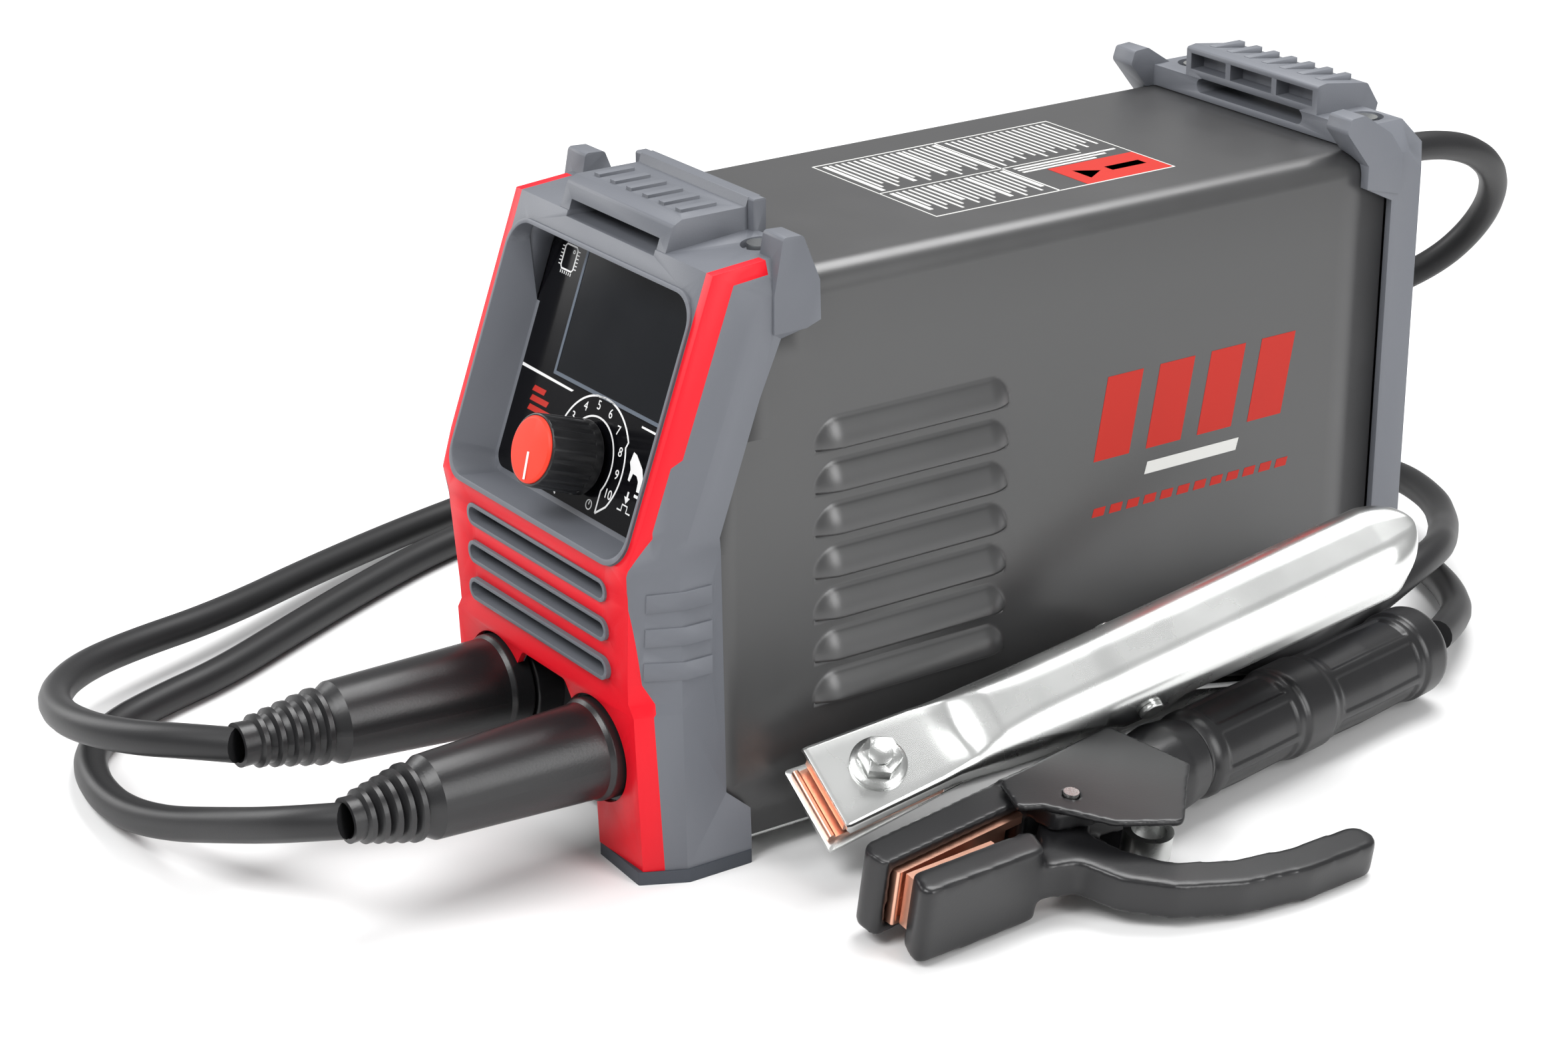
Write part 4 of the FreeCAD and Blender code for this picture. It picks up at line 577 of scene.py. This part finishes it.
CLAMP_ROUTE = [
    (-29.5, -258, 42),
    (-44, -268, 40.5),
    (-62, -277, 37),
    (-87, -282.5, 32),
    (-113, -281.5, 27),
    (-137, -273, 23),
    (-157, -255, 20),
    (-171, -230, 17),
    (-184, -189, 14),
    (-212, -133, 10),
    (-236, -75, 6.5),
    (-251, -12, 5.8),
    (-256, 50, 5.8),
    (-250, 112, 5.8),
    (-228, 170, 5.8),
    (-186, 216, 5.8),
    (-128, 243, 5.8),
    (-80, 252, 9),
    (-40, 248, 18),
    (-4, 234, 21.5),
    (20, 215, 24),
    (38, 196, 29.5),
    (54, 178, 34.5),
    (64, 158, 36),
    (68, 138, 31.5),
    (67, 119, 22.5),
    (68.3, 101, 18),
    (70.9, 83, 21.2),
    (73.6, 64.5, 26.6),
    (77.2, 46.3, 31.6),
]
HOLDER_ROUTE = [
    (29.5, -252, 38.5),
    (20, -260, 36),
    (3, -266, 30),
    (-20, -271, 22),
    (-45, -276, 13.5),
    (-71, -279, 7.5),
    (-96, -277.5, 5.8),
    (-119, -270, 5.8),
    (-136, -254, 5.8),
    (-146, -231, 5.8),
    (-155, -203, 5.8),
    (-173, -168, 5.8),
    (-193, -128, 5.8),
    (-213, -83, 5.8),
    (-226, -30, 5.8),
    (-229, 25, 5.8),
    (-221, 80, 5.8),
    (-201, 130, 5.8),
    (-166, 170, 5.8),
    (-118, 198, 5.8),
    (-64, 216, 5.8),
    (-14, 219, 5.8),
    (26, 208, 6.2),
    (56, 188, 9.5),
    (74, 166, 14.5),
    (83.6, 149, 17.2),
]
MAINS_LEAD = [
    (0, 173.4, 165),
    (0, 197, 166),
    (0, 220, 164.5),
    (-2, 240, 158),
    (-8, 257, 146),
    (-17, 266, 131),
    (-27, 266.5, 116),
    (-37, 260, 103),
    (-50, 247, 92),
    (-62, 233, 78),
    (-73, 219, 62),
    (-82, 206, 44.5),
    (-89, 193, 27.5),
    (-95, 179, 14.5),
    (-101, 162, 7.6),
    (-107, 143, 5.6),
    (-117, 121, 5.4),
    (-130, 104, 5.5),
]
MAINS_TAIL = [
    (-142, -11, 20),
    (-127, -11.8, 19.8),
    (-114, -17.5, 19.5),
    (-105.5, -29, 19.3),
    (-101.5, -43, 19.2),
]
COIL_MIDDLE = (-145.0, 45.0)
COIL_RADIUS = 49.7


def cord_curve(name, points, diameter, material):
    """A round cable on one smooth line through a route's points."""
    curve = bpy.data.curves.new(name, "CURVE")
    curve.dimensions = "3D"
    curve.bevel_depth = diameter / 2 * MM
    curve.bevel_resolution = 6
    curve.resolution_u = 10
    spline = curve.splines.new("NURBS")
    spline.points.add(len(points) - 1)
    for point, place in zip(spline.points, points):
        point.co = (place[0] * MM, place[1] * MM, place[2] * MM, 1)
    spline.order_u = 3
    spline.use_endpoint_u = True
    curve.use_fill_caps = True
    curve.materials.append(material)
    piece = bpy.data.objects.new(name, curve)
    bpy.context.collection.objects.link(piece)
    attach(piece, "machine")
    return piece


def coil_points():
    """Turns of the stored mains cable: five, in three layers, one inside another."""
    pitch = MAINS_DIAMETER + 0.15
    inner = COIL_RADIUS
    lanes = [(inner + pitch, 0), (inner, 0), (inner, 1), (inner + pitch, 1), (inner + pitch, 2)]
    points = []
    per_turn = 16
    base = MAINS_DIAMETER / 2 + 0.2
    for number, (radius, layer) in enumerate(lanes):
        last = number == len(lanes) - 1
        following = lanes[number] if last else lanes[number + 1]
        for step in range(per_turn + 9 if last else per_turn):
            share = 0.0 if last else max(0.0, (step - per_turn + 5) / 5)
            angle = math.pi / 2 + 2 * math.pi * step / per_turn
            reach = radius + (following[0] - radius) * share
            height = base + pitch * 0.92 * (layer + (following[1] - layer) * share)
            x = COIL_MIDDLE[0] + reach * math.cos(angle)
            y = COIL_MIDDLE[1] + reach * math.sin(angle)
            points.append((x, y, height))
    return points


def make_cables(finish, grip):
    """The three free leads, the mains lead with its stored coil."""
    clamp_cable = cord_curve("clamp_lead", CLAMP_ROUTE, WELD_DIAMETER, finish["rubber"])
    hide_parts("clamp_cable")
    holder_cable = cord_curve("holder_lead", HOLDER_ROUTE, WELD_DIAMETER, finish["rubber"])
    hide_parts("holder_cable")
    route = MAINS_LEAD[:-1] + coil_points() + MAINS_TAIL[1:]
    mains = cord_curve("mains_lead", route, MAINS_DIAMETER, finish["rubber"])
    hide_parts("mains_cable", "mains_coil")


# Prints: thin raised ink on the panel, the cover's sides and its top -------------


# Ink stands a little out of its surface and reaches a little into it.
INK_LOW = -0.05
INK_HIGH = 0.09


def on_place(matrix, x, y, z):
    """A place's point in the scene's metres."""
    return (matrix @ Vector((x, y, z))) * MM


def ink_patch(work, matrix, outline):
    """A flat printed patch inside an outline that runs anticlockwise."""
    under = [work.verts.new(on_place(matrix, x, y, INK_LOW)) for x, y in outline]
    over = [work.verts.new(on_place(matrix, x, y, INK_HIGH)) for x, y in outline]
    work.faces.new(over)
    work.faces.new(list(reversed(under)))
    for index in range(len(outline)):
        after = (index + 1) % len(outline)
        work.faces.new((under[index], under[after], over[after], over[index]))


def ink_bar(work, matrix, x0, y0, x1, y1):
    """A printed rectangle."""
    ink_patch(work, matrix, [(x0, y0), (x1, y0), (x1, y1), (x0, y1)])


def slanted_bar(work, matrix, x, y, length, height, lean):
    """A printed bar whose top is shifted along by its lean."""
    over = y + height
    ink_patch(work, matrix, [(x, y), (x + length, y), (x + length + lean, over), (x + lean, over)])


def ink_line(work, matrix, points, width, closed=False):
    """A printed line of one width along its points."""
    count = len(points)
    pairs = []
    for index, (x, y) in enumerate(points):
        before = points[(index - 1) % count] if closed or index > 0 else points[index]
        after = points[(index + 1) % count] if closed or index < count - 1 else points[index]
        way = (Vector(after) - Vector(before)).normalized()
        across = Vector((-way.y, way.x)) * width / 2
        pairs.append(((x + across.x, y + across.y), (x - across.x, y - across.y)))
    rings = []
    for left, right in pairs:
        corners = [(right, INK_LOW), (right, INK_HIGH), (left, INK_HIGH), (left, INK_LOW)]
        rings.append([work.verts.new(on_place(matrix, x, y, z)) for (x, y), z in corners])
    spans = range(count if closed else count - 1)
    for index in spans:
        here = rings[index]
        after = rings[(index + 1) % count]
        for side in range(4):
            turn = (side + 1) % 4
            work.faces.new((here[side], after[side], after[turn], here[turn]))
    if not closed:
        work.faces.new(rings[0])
        work.faces.new(list(reversed(rings[-1])))


def arc_points(middle, radius, start, end, count=28):
    """Points from one angle to another; the radius may change along the way."""
    first, last = radius if isinstance(radius, tuple) else (radius, radius)
    points = []
    for step in range(count + 1):
        share = step / count
        angle = math.radians(start + (end - start) * share)
        reach = first + (last - first) * share
        points.append((middle[0] + reach * math.cos(angle), middle[1] + reach * math.sin(angle)))
    return points


def round_box(x0, y0, x1, y1, radius):
    """A rectangle with rounded corners, anticlockwise from its right side."""
    points = []
    right, left = x1 - radius, x0 + radius
    top, foot = y1 - radius, y0 + radius
    for turn, middle in enumerate(((right, top), (left, top), (left, foot), (right, foot))):
        points += arc_points(middle, radius, 90 * turn, 90 * turn + 90, 8)
    return points


def ink_number(work, matrix, words, place, height):
    """Digits in the default typeface, as ink centred on a point."""
    curve = bpy.data.curves.new("digits", "FONT")
    curve.body = words
    curve.size = height
    curve.align_x = "CENTER"
    curve.align_y = "CENTER"
    curve.extrude = 0.06
    holder = bpy.data.objects.new("digits", curve)
    bpy.context.collection.objects.link(holder)
    bpy.context.view_layer.update()
    graph = bpy.context.evaluated_depsgraph_get()
    mesh = bpy.data.meshes.new_from_object(holder.evaluated_get(graph), depsgraph=graph)
    mesh.transform(Matrix.Scale(MM, 4) @ matrix @ Matrix.Translation((place[0], place[1], 0.03)))
    work.from_mesh(mesh)
    bpy.data.objects.remove(holder)
    bpy.data.meshes.remove(mesh)


def finish_print(work, name, material):
    """Turns a print's ink into one piece on the machine."""
    piece = new_piece(name, mesh_from(name, work), material)


# The dial: its numbers' radius and height in mm, and the angles of 0 and of each step.
DIGIT_RADIUS = 16.7
DIGIT_HEIGHT = 4.3
DIGIT_START = 218
DIGIT_STEP = 24.4

# The display's border, down its left side and along its foot.
WINDOW_BORDER = [(-25.2, 41.3), (43.6, 41.3), (43.6, 42.5), (-24.0, 42.5), (-24.0, 84.0), (-25.2, 84.0)]

# Icons as outlines in the control face's millimetres.
HAND = [
    (26.6, 27.6),
    (27.9, 25.6),
    (27.9, 22.2),
    (28.9, 22.0),
    (29.6, 24.8),
    (31.8, 24.6),
    (33.2, 23.2),
    (33.6, 20.2),
    (35.2, 20.2),
    (35.4, 24.4),
    (33.6, 27.4),
    (29.0, 30.6),
    (27.2, 31.0),
]
PRESS_BASE = [(26.4, 12.6), (28.6, 12.6), (28.6, 14.6), (31.4, 14.6), (31.4, 12.6), (33.6, 12.6)]
PRESS_ARROW = [
    (30.0, 15.2),
    (31.5, 17.2),
    (30.4, 17.2),
    (30.4, 19.0),
    (29.6, 19.0),
    (29.6, 17.2),
    (28.5, 17.2),
]
RING_MIDDLE = (11.8, 9.2)
CHIP_MIDDLE = (-33.6, 77.2)
CHIP_OUTLINE = [
    (-3.6, -3.1),
    (-2.9, -4.0),
    (2.9, -4.0),
    (3.6, -3.1),
    (3.6, 3.1),
    (2.9, 4.0),
    (-2.9, 4.0),
    (-3.6, 3.1),
]


def print_chip(white):
    """A chip's outline with six pins on each of its four sides and its corner mark."""
    across, along = CHIP_MIDDLE
    ink_line(white, PANEL, [(across + x, along + y) for x, y in CHIP_OUTLINE], 0.55, closed=True)
    for step in range(6):
        shift = -2.9 + step * 1.16
        for side in BOTH_SIDES:
            x = across + side * 4.6
            ink_bar(white, PANEL, x - 0.55, along + shift - 0.17, x + 0.55, along + shift + 0.17)
            y = along + side * 5.0
            ink_bar(white, PANEL, across + shift - 0.17, y - 0.5, across + shift + 0.17, y + 0.5)
    mark = arc_points((across + 1.9, along + 2.3), 0.5, 0, 330, 10)
    ink_line(white, PANEL, mark, 0.3, closed=True)


def make_panel_print(finish):
    """The control face's dial, lines and icons in white, the window's border, and red bars."""
    dial = (KNOB_X, KNOB_ALONG)
    white = bmesh.new()
    for number in range(11):
        angle = math.radians(DIGIT_START - DIGIT_STEP * number)
        x = dial[0] + DIGIT_RADIUS * math.cos(angle)
        y = dial[1] + DIGIT_RADIUS * math.sin(angle)
        ink_number(white, PANEL, str(number), (x, y), DIGIT_HEIGHT)
    tip = (dial[0] + 11.0, dial[1] - 14.6)
    outer = arc_points(dial, 19.6, 232, 100)
    outer += arc_points(dial, (19.4, 20.9), 98, 30, 16)
    outer += arc_points(dial, (19.4, 19.2), 26, -36, 14)
    outer.append(tip)
    ink_line(white, PANEL, outer, 0.65)
    inner = arc_points(dial, 13.2, 150, -34, 36)
    inner.append(tip)
    ink_line(white, PANEL, inner, 0.6)
    ink_patch(white, PANEL, [(-43.0, 39.0), (-13.0, 38.7), (-12.0, 39.4), (-43.0, 40.0)])
    ink_patch(white, PANEL, [(27.5, 38.9), (43.0, 38.8), (43.0, 39.6), (27.5, 39.5)])

    print_chip(white)
    ink_patch(white, PANEL, HAND)
    ink_bar(white, PANEL, 33.1, 18.3, 36.2, 19.2)
    ink_line(white, PANEL, PRESS_BASE, 0.5)
    ink_patch(white, PANEL, PRESS_ARROW)
    ink_line(white, PANEL, arc_points(RING_MIDDLE, 1.5, 0, 345, 22), 0.35, closed=True)
    ink_line(white, PANEL, [RING_MIDDLE, (RING_MIDDLE[0], 10.3)], 0.35)
    finish_print(white, "panel_print", finish["white"])

    border = bmesh.new()
    ink_patch(border, PANEL, WINDOW_BORDER)
    finish_print(border, "window_border", finish["border"])

    red = bmesh.new()
    for row in range(3):
        length = 13.0 - 3.0 * row
        y = 27.0 + row * 3.1
        slanted_bar(red, PANEL, -34.0, y, length, 1.9, 0.8)
    finish_print(red, "panel_accent", finish["print_red"])


def make_cover_prints(finish):
    """Plain bars on both sides of the cover, and a boxed notice panel on top."""
    red = bmesh.new()
    white = bmesh.new()
    for side in BOTH_SIDES:
        place = axes(Vector((side * COVER_HALF, 0, 0)), Vector((0, side, 0)), Vector((0, 0, 1)))
        near = 12.0 if side > 0 else -99.0
        for index in range(4):
            x = near + 22.2 * index
            slanted_bar(red, place, x, 104.0, 15.0, 28.5, 5.0)
        slanted_bar(white, place, near + 22, 95.0, 40.0, 4.2, 1.2)
        for step in range(12):
            x = near + 7.3 * step
            slanted_bar(red, place, x, 84.4, 5.0, 3.0, 0.9)
    top = axes(Vector((0, 0, COVER_TOP)), Vector((1, 0, 0)), Vector((0, 1, 0)))
    ink_line(white, top, [(-34, -36), (33.4, -36), (33.4, 62.4), (-34, 62.4)], 0.7, closed=True)
    ink_line(white, top, [(-34, 14.0), (33.4, 14.0)], 0.6)
    ink_line(white, top, [(3.0, -36), (3.0, 47.5)], 0.5)
    ink_bar(red, top, 12.0, 26.0, 33.0, 62.0)
    ink_patch(white, top, [(18.0, 31.5), (28.0, 31.5), (23.0, 39.5)])
    ink_bar(white, top, 20.5, 43.0, 25.0, 57.5)
    for column, (start, end) in enumerate(((-32.0, 1.0), (5.0, 31.5))):
        for row in range(19):
            y = -33.5 + 2.5 * row
            reach = end - (3.5 * row + 5 * column) % 9
            thick = 0.9 if row % 6 else 1.6
            ink_bar(white, top, start, y, reach, y + thick)
    for row in range(17):
        y = 17.0 + 2.6 * row
        ink_bar(white, top, -32.0, y, 1.0 - (4.7 * row) % 8, y + 0.9)
    for row in range(3):
        ink_bar(white, top, 5.0 + 2.4 * row, 17.0, 6.2 + 2.4 * row, 60.0 - 6 * row)
    finish_print(red, "cover_accent", finish["print_red"])
    finish_print(white, "cover_print", finish["label"])


def make_recess_liner(finish):
    """The well's own wall behind the frame, where the CAD frame makes room for the cover."""
    front = PANEL_IN + 2.0
    work = bmesh.new()
    rings = []
    for grow in (0.12, 1.1):
        for x, low, high, radius, z in ((51.2, 0.4, 84.3, 9.3, front), (44.9, 4.1, 86.2, 6.0, 0.1)):
            outline = round_box(-x - grow, low - grow, x + grow, high + grow, radius + grow)
            rings.append([work.verts.new(on_place(PANEL, *point, z)) for point in outline])
    near_in, far_in, near_out, far_out = rings
    for one, other in ((near_in, far_in), (far_in, far_out), (far_out, near_out), (near_out, near_in)):
        for index in range(len(one)):
            after = (index + 1) % len(one)
            work.faces.new((one[index], one[after], other[after], other[index]))
    mesh = mesh_from("recess_liner", work)
    smooth(mesh)
    liner = new_piece("recess_liner", mesh, finish["grey"])


# Knob, clamp and holder ----------------------------------------------------------


def make_knob_pointer(finish):
    """The white line on the knob's cap, at the height of the cap's front."""
    inverse = PANEL.inverted()
    points = [inverse @ (vertex.co / MM) for vertex in NODES["knob_cap"].data.vertices]
    top = max(point.z for point in points)
    lift = Matrix.Translation((0, 0, top))
    work = bmesh.new()
    start = (KNOB_X + 0.2, KNOB_ALONG - 0.8)
    end = (KNOB_X + 1.6, KNOB_ALONG - 9.3)
    ink_line(work, PANEL @ lift, [start, end], 1.0)
    mesh = mesh_from("knob_pointer", work)
    pointer = new_piece("knob_pointer", mesh, finish["white"], "knob")


def blend_rows(table, at):
    """A row of values between a table's rows, whose first value is the place along it."""
    for lower, upper in zip(table, table[1:]):
        if at <= upper[0]:
            share = (at - lower[0]) / (upper[0] - lower[0])
            share = max(0.0, share)
            return [a + (b - a) * share for a, b in zip(lower[1:], upper[1:])]
    return list(table[-1][1:])


# The clamp's upper arm is straight up to here, and then its end is round.
ARM_STRAIGHT = 203.0

# Along the clamp's upper arm: half width, corner radius, crown's height, flange depth.
ARM_TABLE = [
    (0.0, 15.1, 1.2, 0.0, 2.4),
    (1.5, 15.4, 1.6, 0.0, 5.4),
    (36.0, 13.9, 2.0, 0.0, 6.4),
    (42.0, 13.5, 2.4, 0.0, 7.4),
    (48.0, 13.7, 3.6, 0.2, 9.4),
    (54.0, 14.0, 5.8, 1.5, 11.8),
    (60.0, 14.4, 8.0, 2.5, 14.0),
    (74.0, 14.8, 10.0, 3.2, 16.4),
    (98.0, 14.9, 10.4, 4.4, 17.4),
    (104.0, 14.9, 10.4, 4.9, 22.6),
    (120.0, 14.9, 10.4, 6.1, 23.4),
    (126.0, 14.9, 10.4, 6.6, 18.8),
    (150.0, 14.9, 10.4, 8.4, 20.0),
    (ARM_STRAIGHT, 14.8, 10.4, 12.6, 20.0),
]


def arm_outline(half, corner, crown, depth, dent):
    """The upper arm's section from one flange's edge over the crown to the other's."""
    points = []
    for step in range(5):
        points.append((-half, crown - depth + (depth - corner) * step / 4))
    for step in range(1, 8):
        turn = math.pi / 2 * step / 8
        points.append((-half + corner * (1 - math.cos(turn)), crown - corner * (1 - math.sin(turn))))
    flat = half - corner
    for step in range(9):
        x = -flat + 2 * flat * step / 8
        points.append((x, crown))
    right = [(-x, z) for x, z in reversed(points[: 5 + 7])]
    points += right
    lowered = []
    for x, z in points:
        inside = max(0.0, 1 - (x / (0.72 * half)) ** 2)
        lowered.append((x, z - dent * inside))
    return lowered


def make_clamp_arm(finish):
    """Pressed sheet arm: a flat nose, a dent behind it and a rounded channel for the hand."""
    stations = []
    y = 0.0
    while y < ARM_STRAIGHT:
        stations.append((y, *blend_rows(ARM_TABLE, y), 0.9 * math.exp(-(((y - 46.5) / 4.5) ** 2))))
        y += 1.5 if y < 72 or 94 < y < 130 else 6.0
    for step in range(13):
        turn = math.pi / 2 * step / 12.4
        half = 14.8 * math.cos(turn)
        drop = 2.2 * (1 - math.cos(turn))
        y = ARM_STRAIGHT + 14.6 * math.sin(turn)
        stations.append((y, half, min(10.4, half * 0.75), 12.6 - drop, 20.0 - drop, 0.0))
    work = bmesh.new()
    grid = []
    for y, half, corner, crown, depth, dent in stations:
        row = arm_outline(half, corner, crown, depth, dent)
        grid.append([work.verts.new(on_place(CLAMP, x, y, z)) for x, z in row])
    for here, after in zip(grid, grid[1:]):
        for column in range(len(here) - 1):
            work.faces.new((here[column], after[column], after[column + 1], here[column + 1]))
    bmesh.ops.remove_doubles(work, verts=work.verts, dist=0.00002)
    bmesh.ops.recalc_face_normals(work, faces=work.faces)
    outward = CLAMP.to_3x3() @ Vector((0, 0, 1))
    middle = on_place(CLAMP, 0, 150, 8.4)
    top = min(work.faces, key=lambda face: (face.calc_center_median() - middle).length)
    if top.normal.dot(outward) < 0:
        bmesh.ops.reverse_faces(work, faces=work.faces)
    mesh = bpy.data.meshes.new("clamp_upper_sheet")
    work.to_mesh(mesh)
    work.free()
    smooth(mesh)
    arm = new_piece("clamp_upper_sheet", mesh, finish["zinc"], "clamp_arm")
    thick = arm.modifiers.new("thickness", "SOLIDIFY")
    thick.thickness = 1.7 * MM
    thick.offset = -1.0
    edge = arm.modifiers.new("edges", "BEVEL")
    edge.width = 0.35 * MM
    edge.segments = 2
    edge.limit_method = "ANGLE"
    edge.angle_limit = math.radians(50)
    with_modifiers(arm)
    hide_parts("clamp_upper_arm")


GRIP_LENGTH = 128.0

# Along the grip: place and radius.
GRIP_TABLE = [
    (0.0, 11.6),
    (0.8, 12.6),
    (3.0, 15.2),
    (5.0, 15.9),
    (12.0, 16.1),
    (14.0, 16.1),
    (15.2, 15.2),
    (40.0, 15.7),
    (64.0, 15.2),
    (66.2, 16.1),
    (79.8, 16.1),
    (81.5, 15.0),
    (105.0, 15.3),
    (124.5, 15.0),
    (126.6, 14.2),
    (GRIP_LENGTH, 13.2),
]


def panel_depth(s, angle):
    """How deep the grip's moulded panels are, 0 to 1: six along each half."""
    for start, end in ((18.0, 61.5), (84.5, 121.5)):
        if start < s < end:
            share = (angle / (2 * math.pi) * 6) % 1.0
            across = min(share, 1 - share) * 2 * math.pi * 15.3 / 6
            along = min(s - start, end - s)
            return max(0.0, min(1.0, (across - 1.2) / 0.9)) * max(0.0, min(1.0, along / 1.2))
    return 0.0


def make_grip(finish):
    """Moulded grip with raised rings and long shallow panels between its ribs."""
    stations = []
    s = 0.0
    while s < GRIP_LENGTH:
        stations.append(s)
        s += 0.8
    stations.append(GRIP_LENGTH)
    around = 144
    work = bmesh.new()
    grid = []
    for s in stations:
        base = blend_rows(GRIP_TABLE, s)[0]
        ring = []
        for step in range(around):
            angle = 2 * math.pi * step / around
            reach = base - 0.75 * panel_depth(s, angle)
            across = reach * math.cos(angle)
            up = reach * math.sin(angle)
            ring.append(work.verts.new(on_place(HOLDER, s, across, up)))
        grid.append(ring)
    for here, after in zip(grid, grid[1:]):
        for step in range(around):
            turn = (step + 1) % around
            work.faces.new((here[step], here[turn], after[turn], after[step]))
    work.faces.new(list(reversed(grid[0])))
    work.faces.new(grid[-1])
    mesh = mesh_from("holder_grip_moulded", work)
    smooth(mesh)
    grip = new_piece("holder_grip_moulded", mesh, finish["black"])
    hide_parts("holder_grip")
    return grip


# What is made -------------------------------------------------------------------

# CAD nodes shown with rounded edges: node, edge width in mm and finish.
ROUNDED_PLASTIC = [
    ("front_frame", 0.9, "grey"),
    ("rear_frame", 0.6, "grey"),
    ("red_bezel", 0.5, "red"),
    ("knob_skirt", 0.4, "black"),
    ("knob_cap", 0.4, "knob_red"),
]
ROUNDED_METAL = [
    ("clamp_lower_arm", 0.3, "zinc"),
    ("clamp_upper_bolt", 0.4, "steel"),
    ("clamp_lower_bolt", 0.4, "steel"),
]
# CAD nodes shown as mouldings: node, grid in mm and rounds of smoothing.
MOULDINGS = [("holder_head", 0.8, 8), ("holder_guards", 0.6, 6), ("holder_lever", 0.7, 42)]

make_camera()
FINISH = make_materials()
make_cables(FINISH, make_grip(FINISH))
make_stage()
dress_cad_nodes(FINISH)
make_cover(FINISH)
for node, width, key in ROUNDED_PLASTIC:
    softened(node, width, FINISH[key])
for node, voxel, rounds in MOULDINGS:
    moulded(node, FINISH["black"], voxel, rounds)
for node, width, key in ROUNDED_METAL:
    softened(node, width, FINISH[key])
make_recess_liner(FINISH)
make_panel_print(FINISH)
make_cover_prints(FINISH)
make_knob_pointer(FINISH)
make_clamp_arm(FINISH)
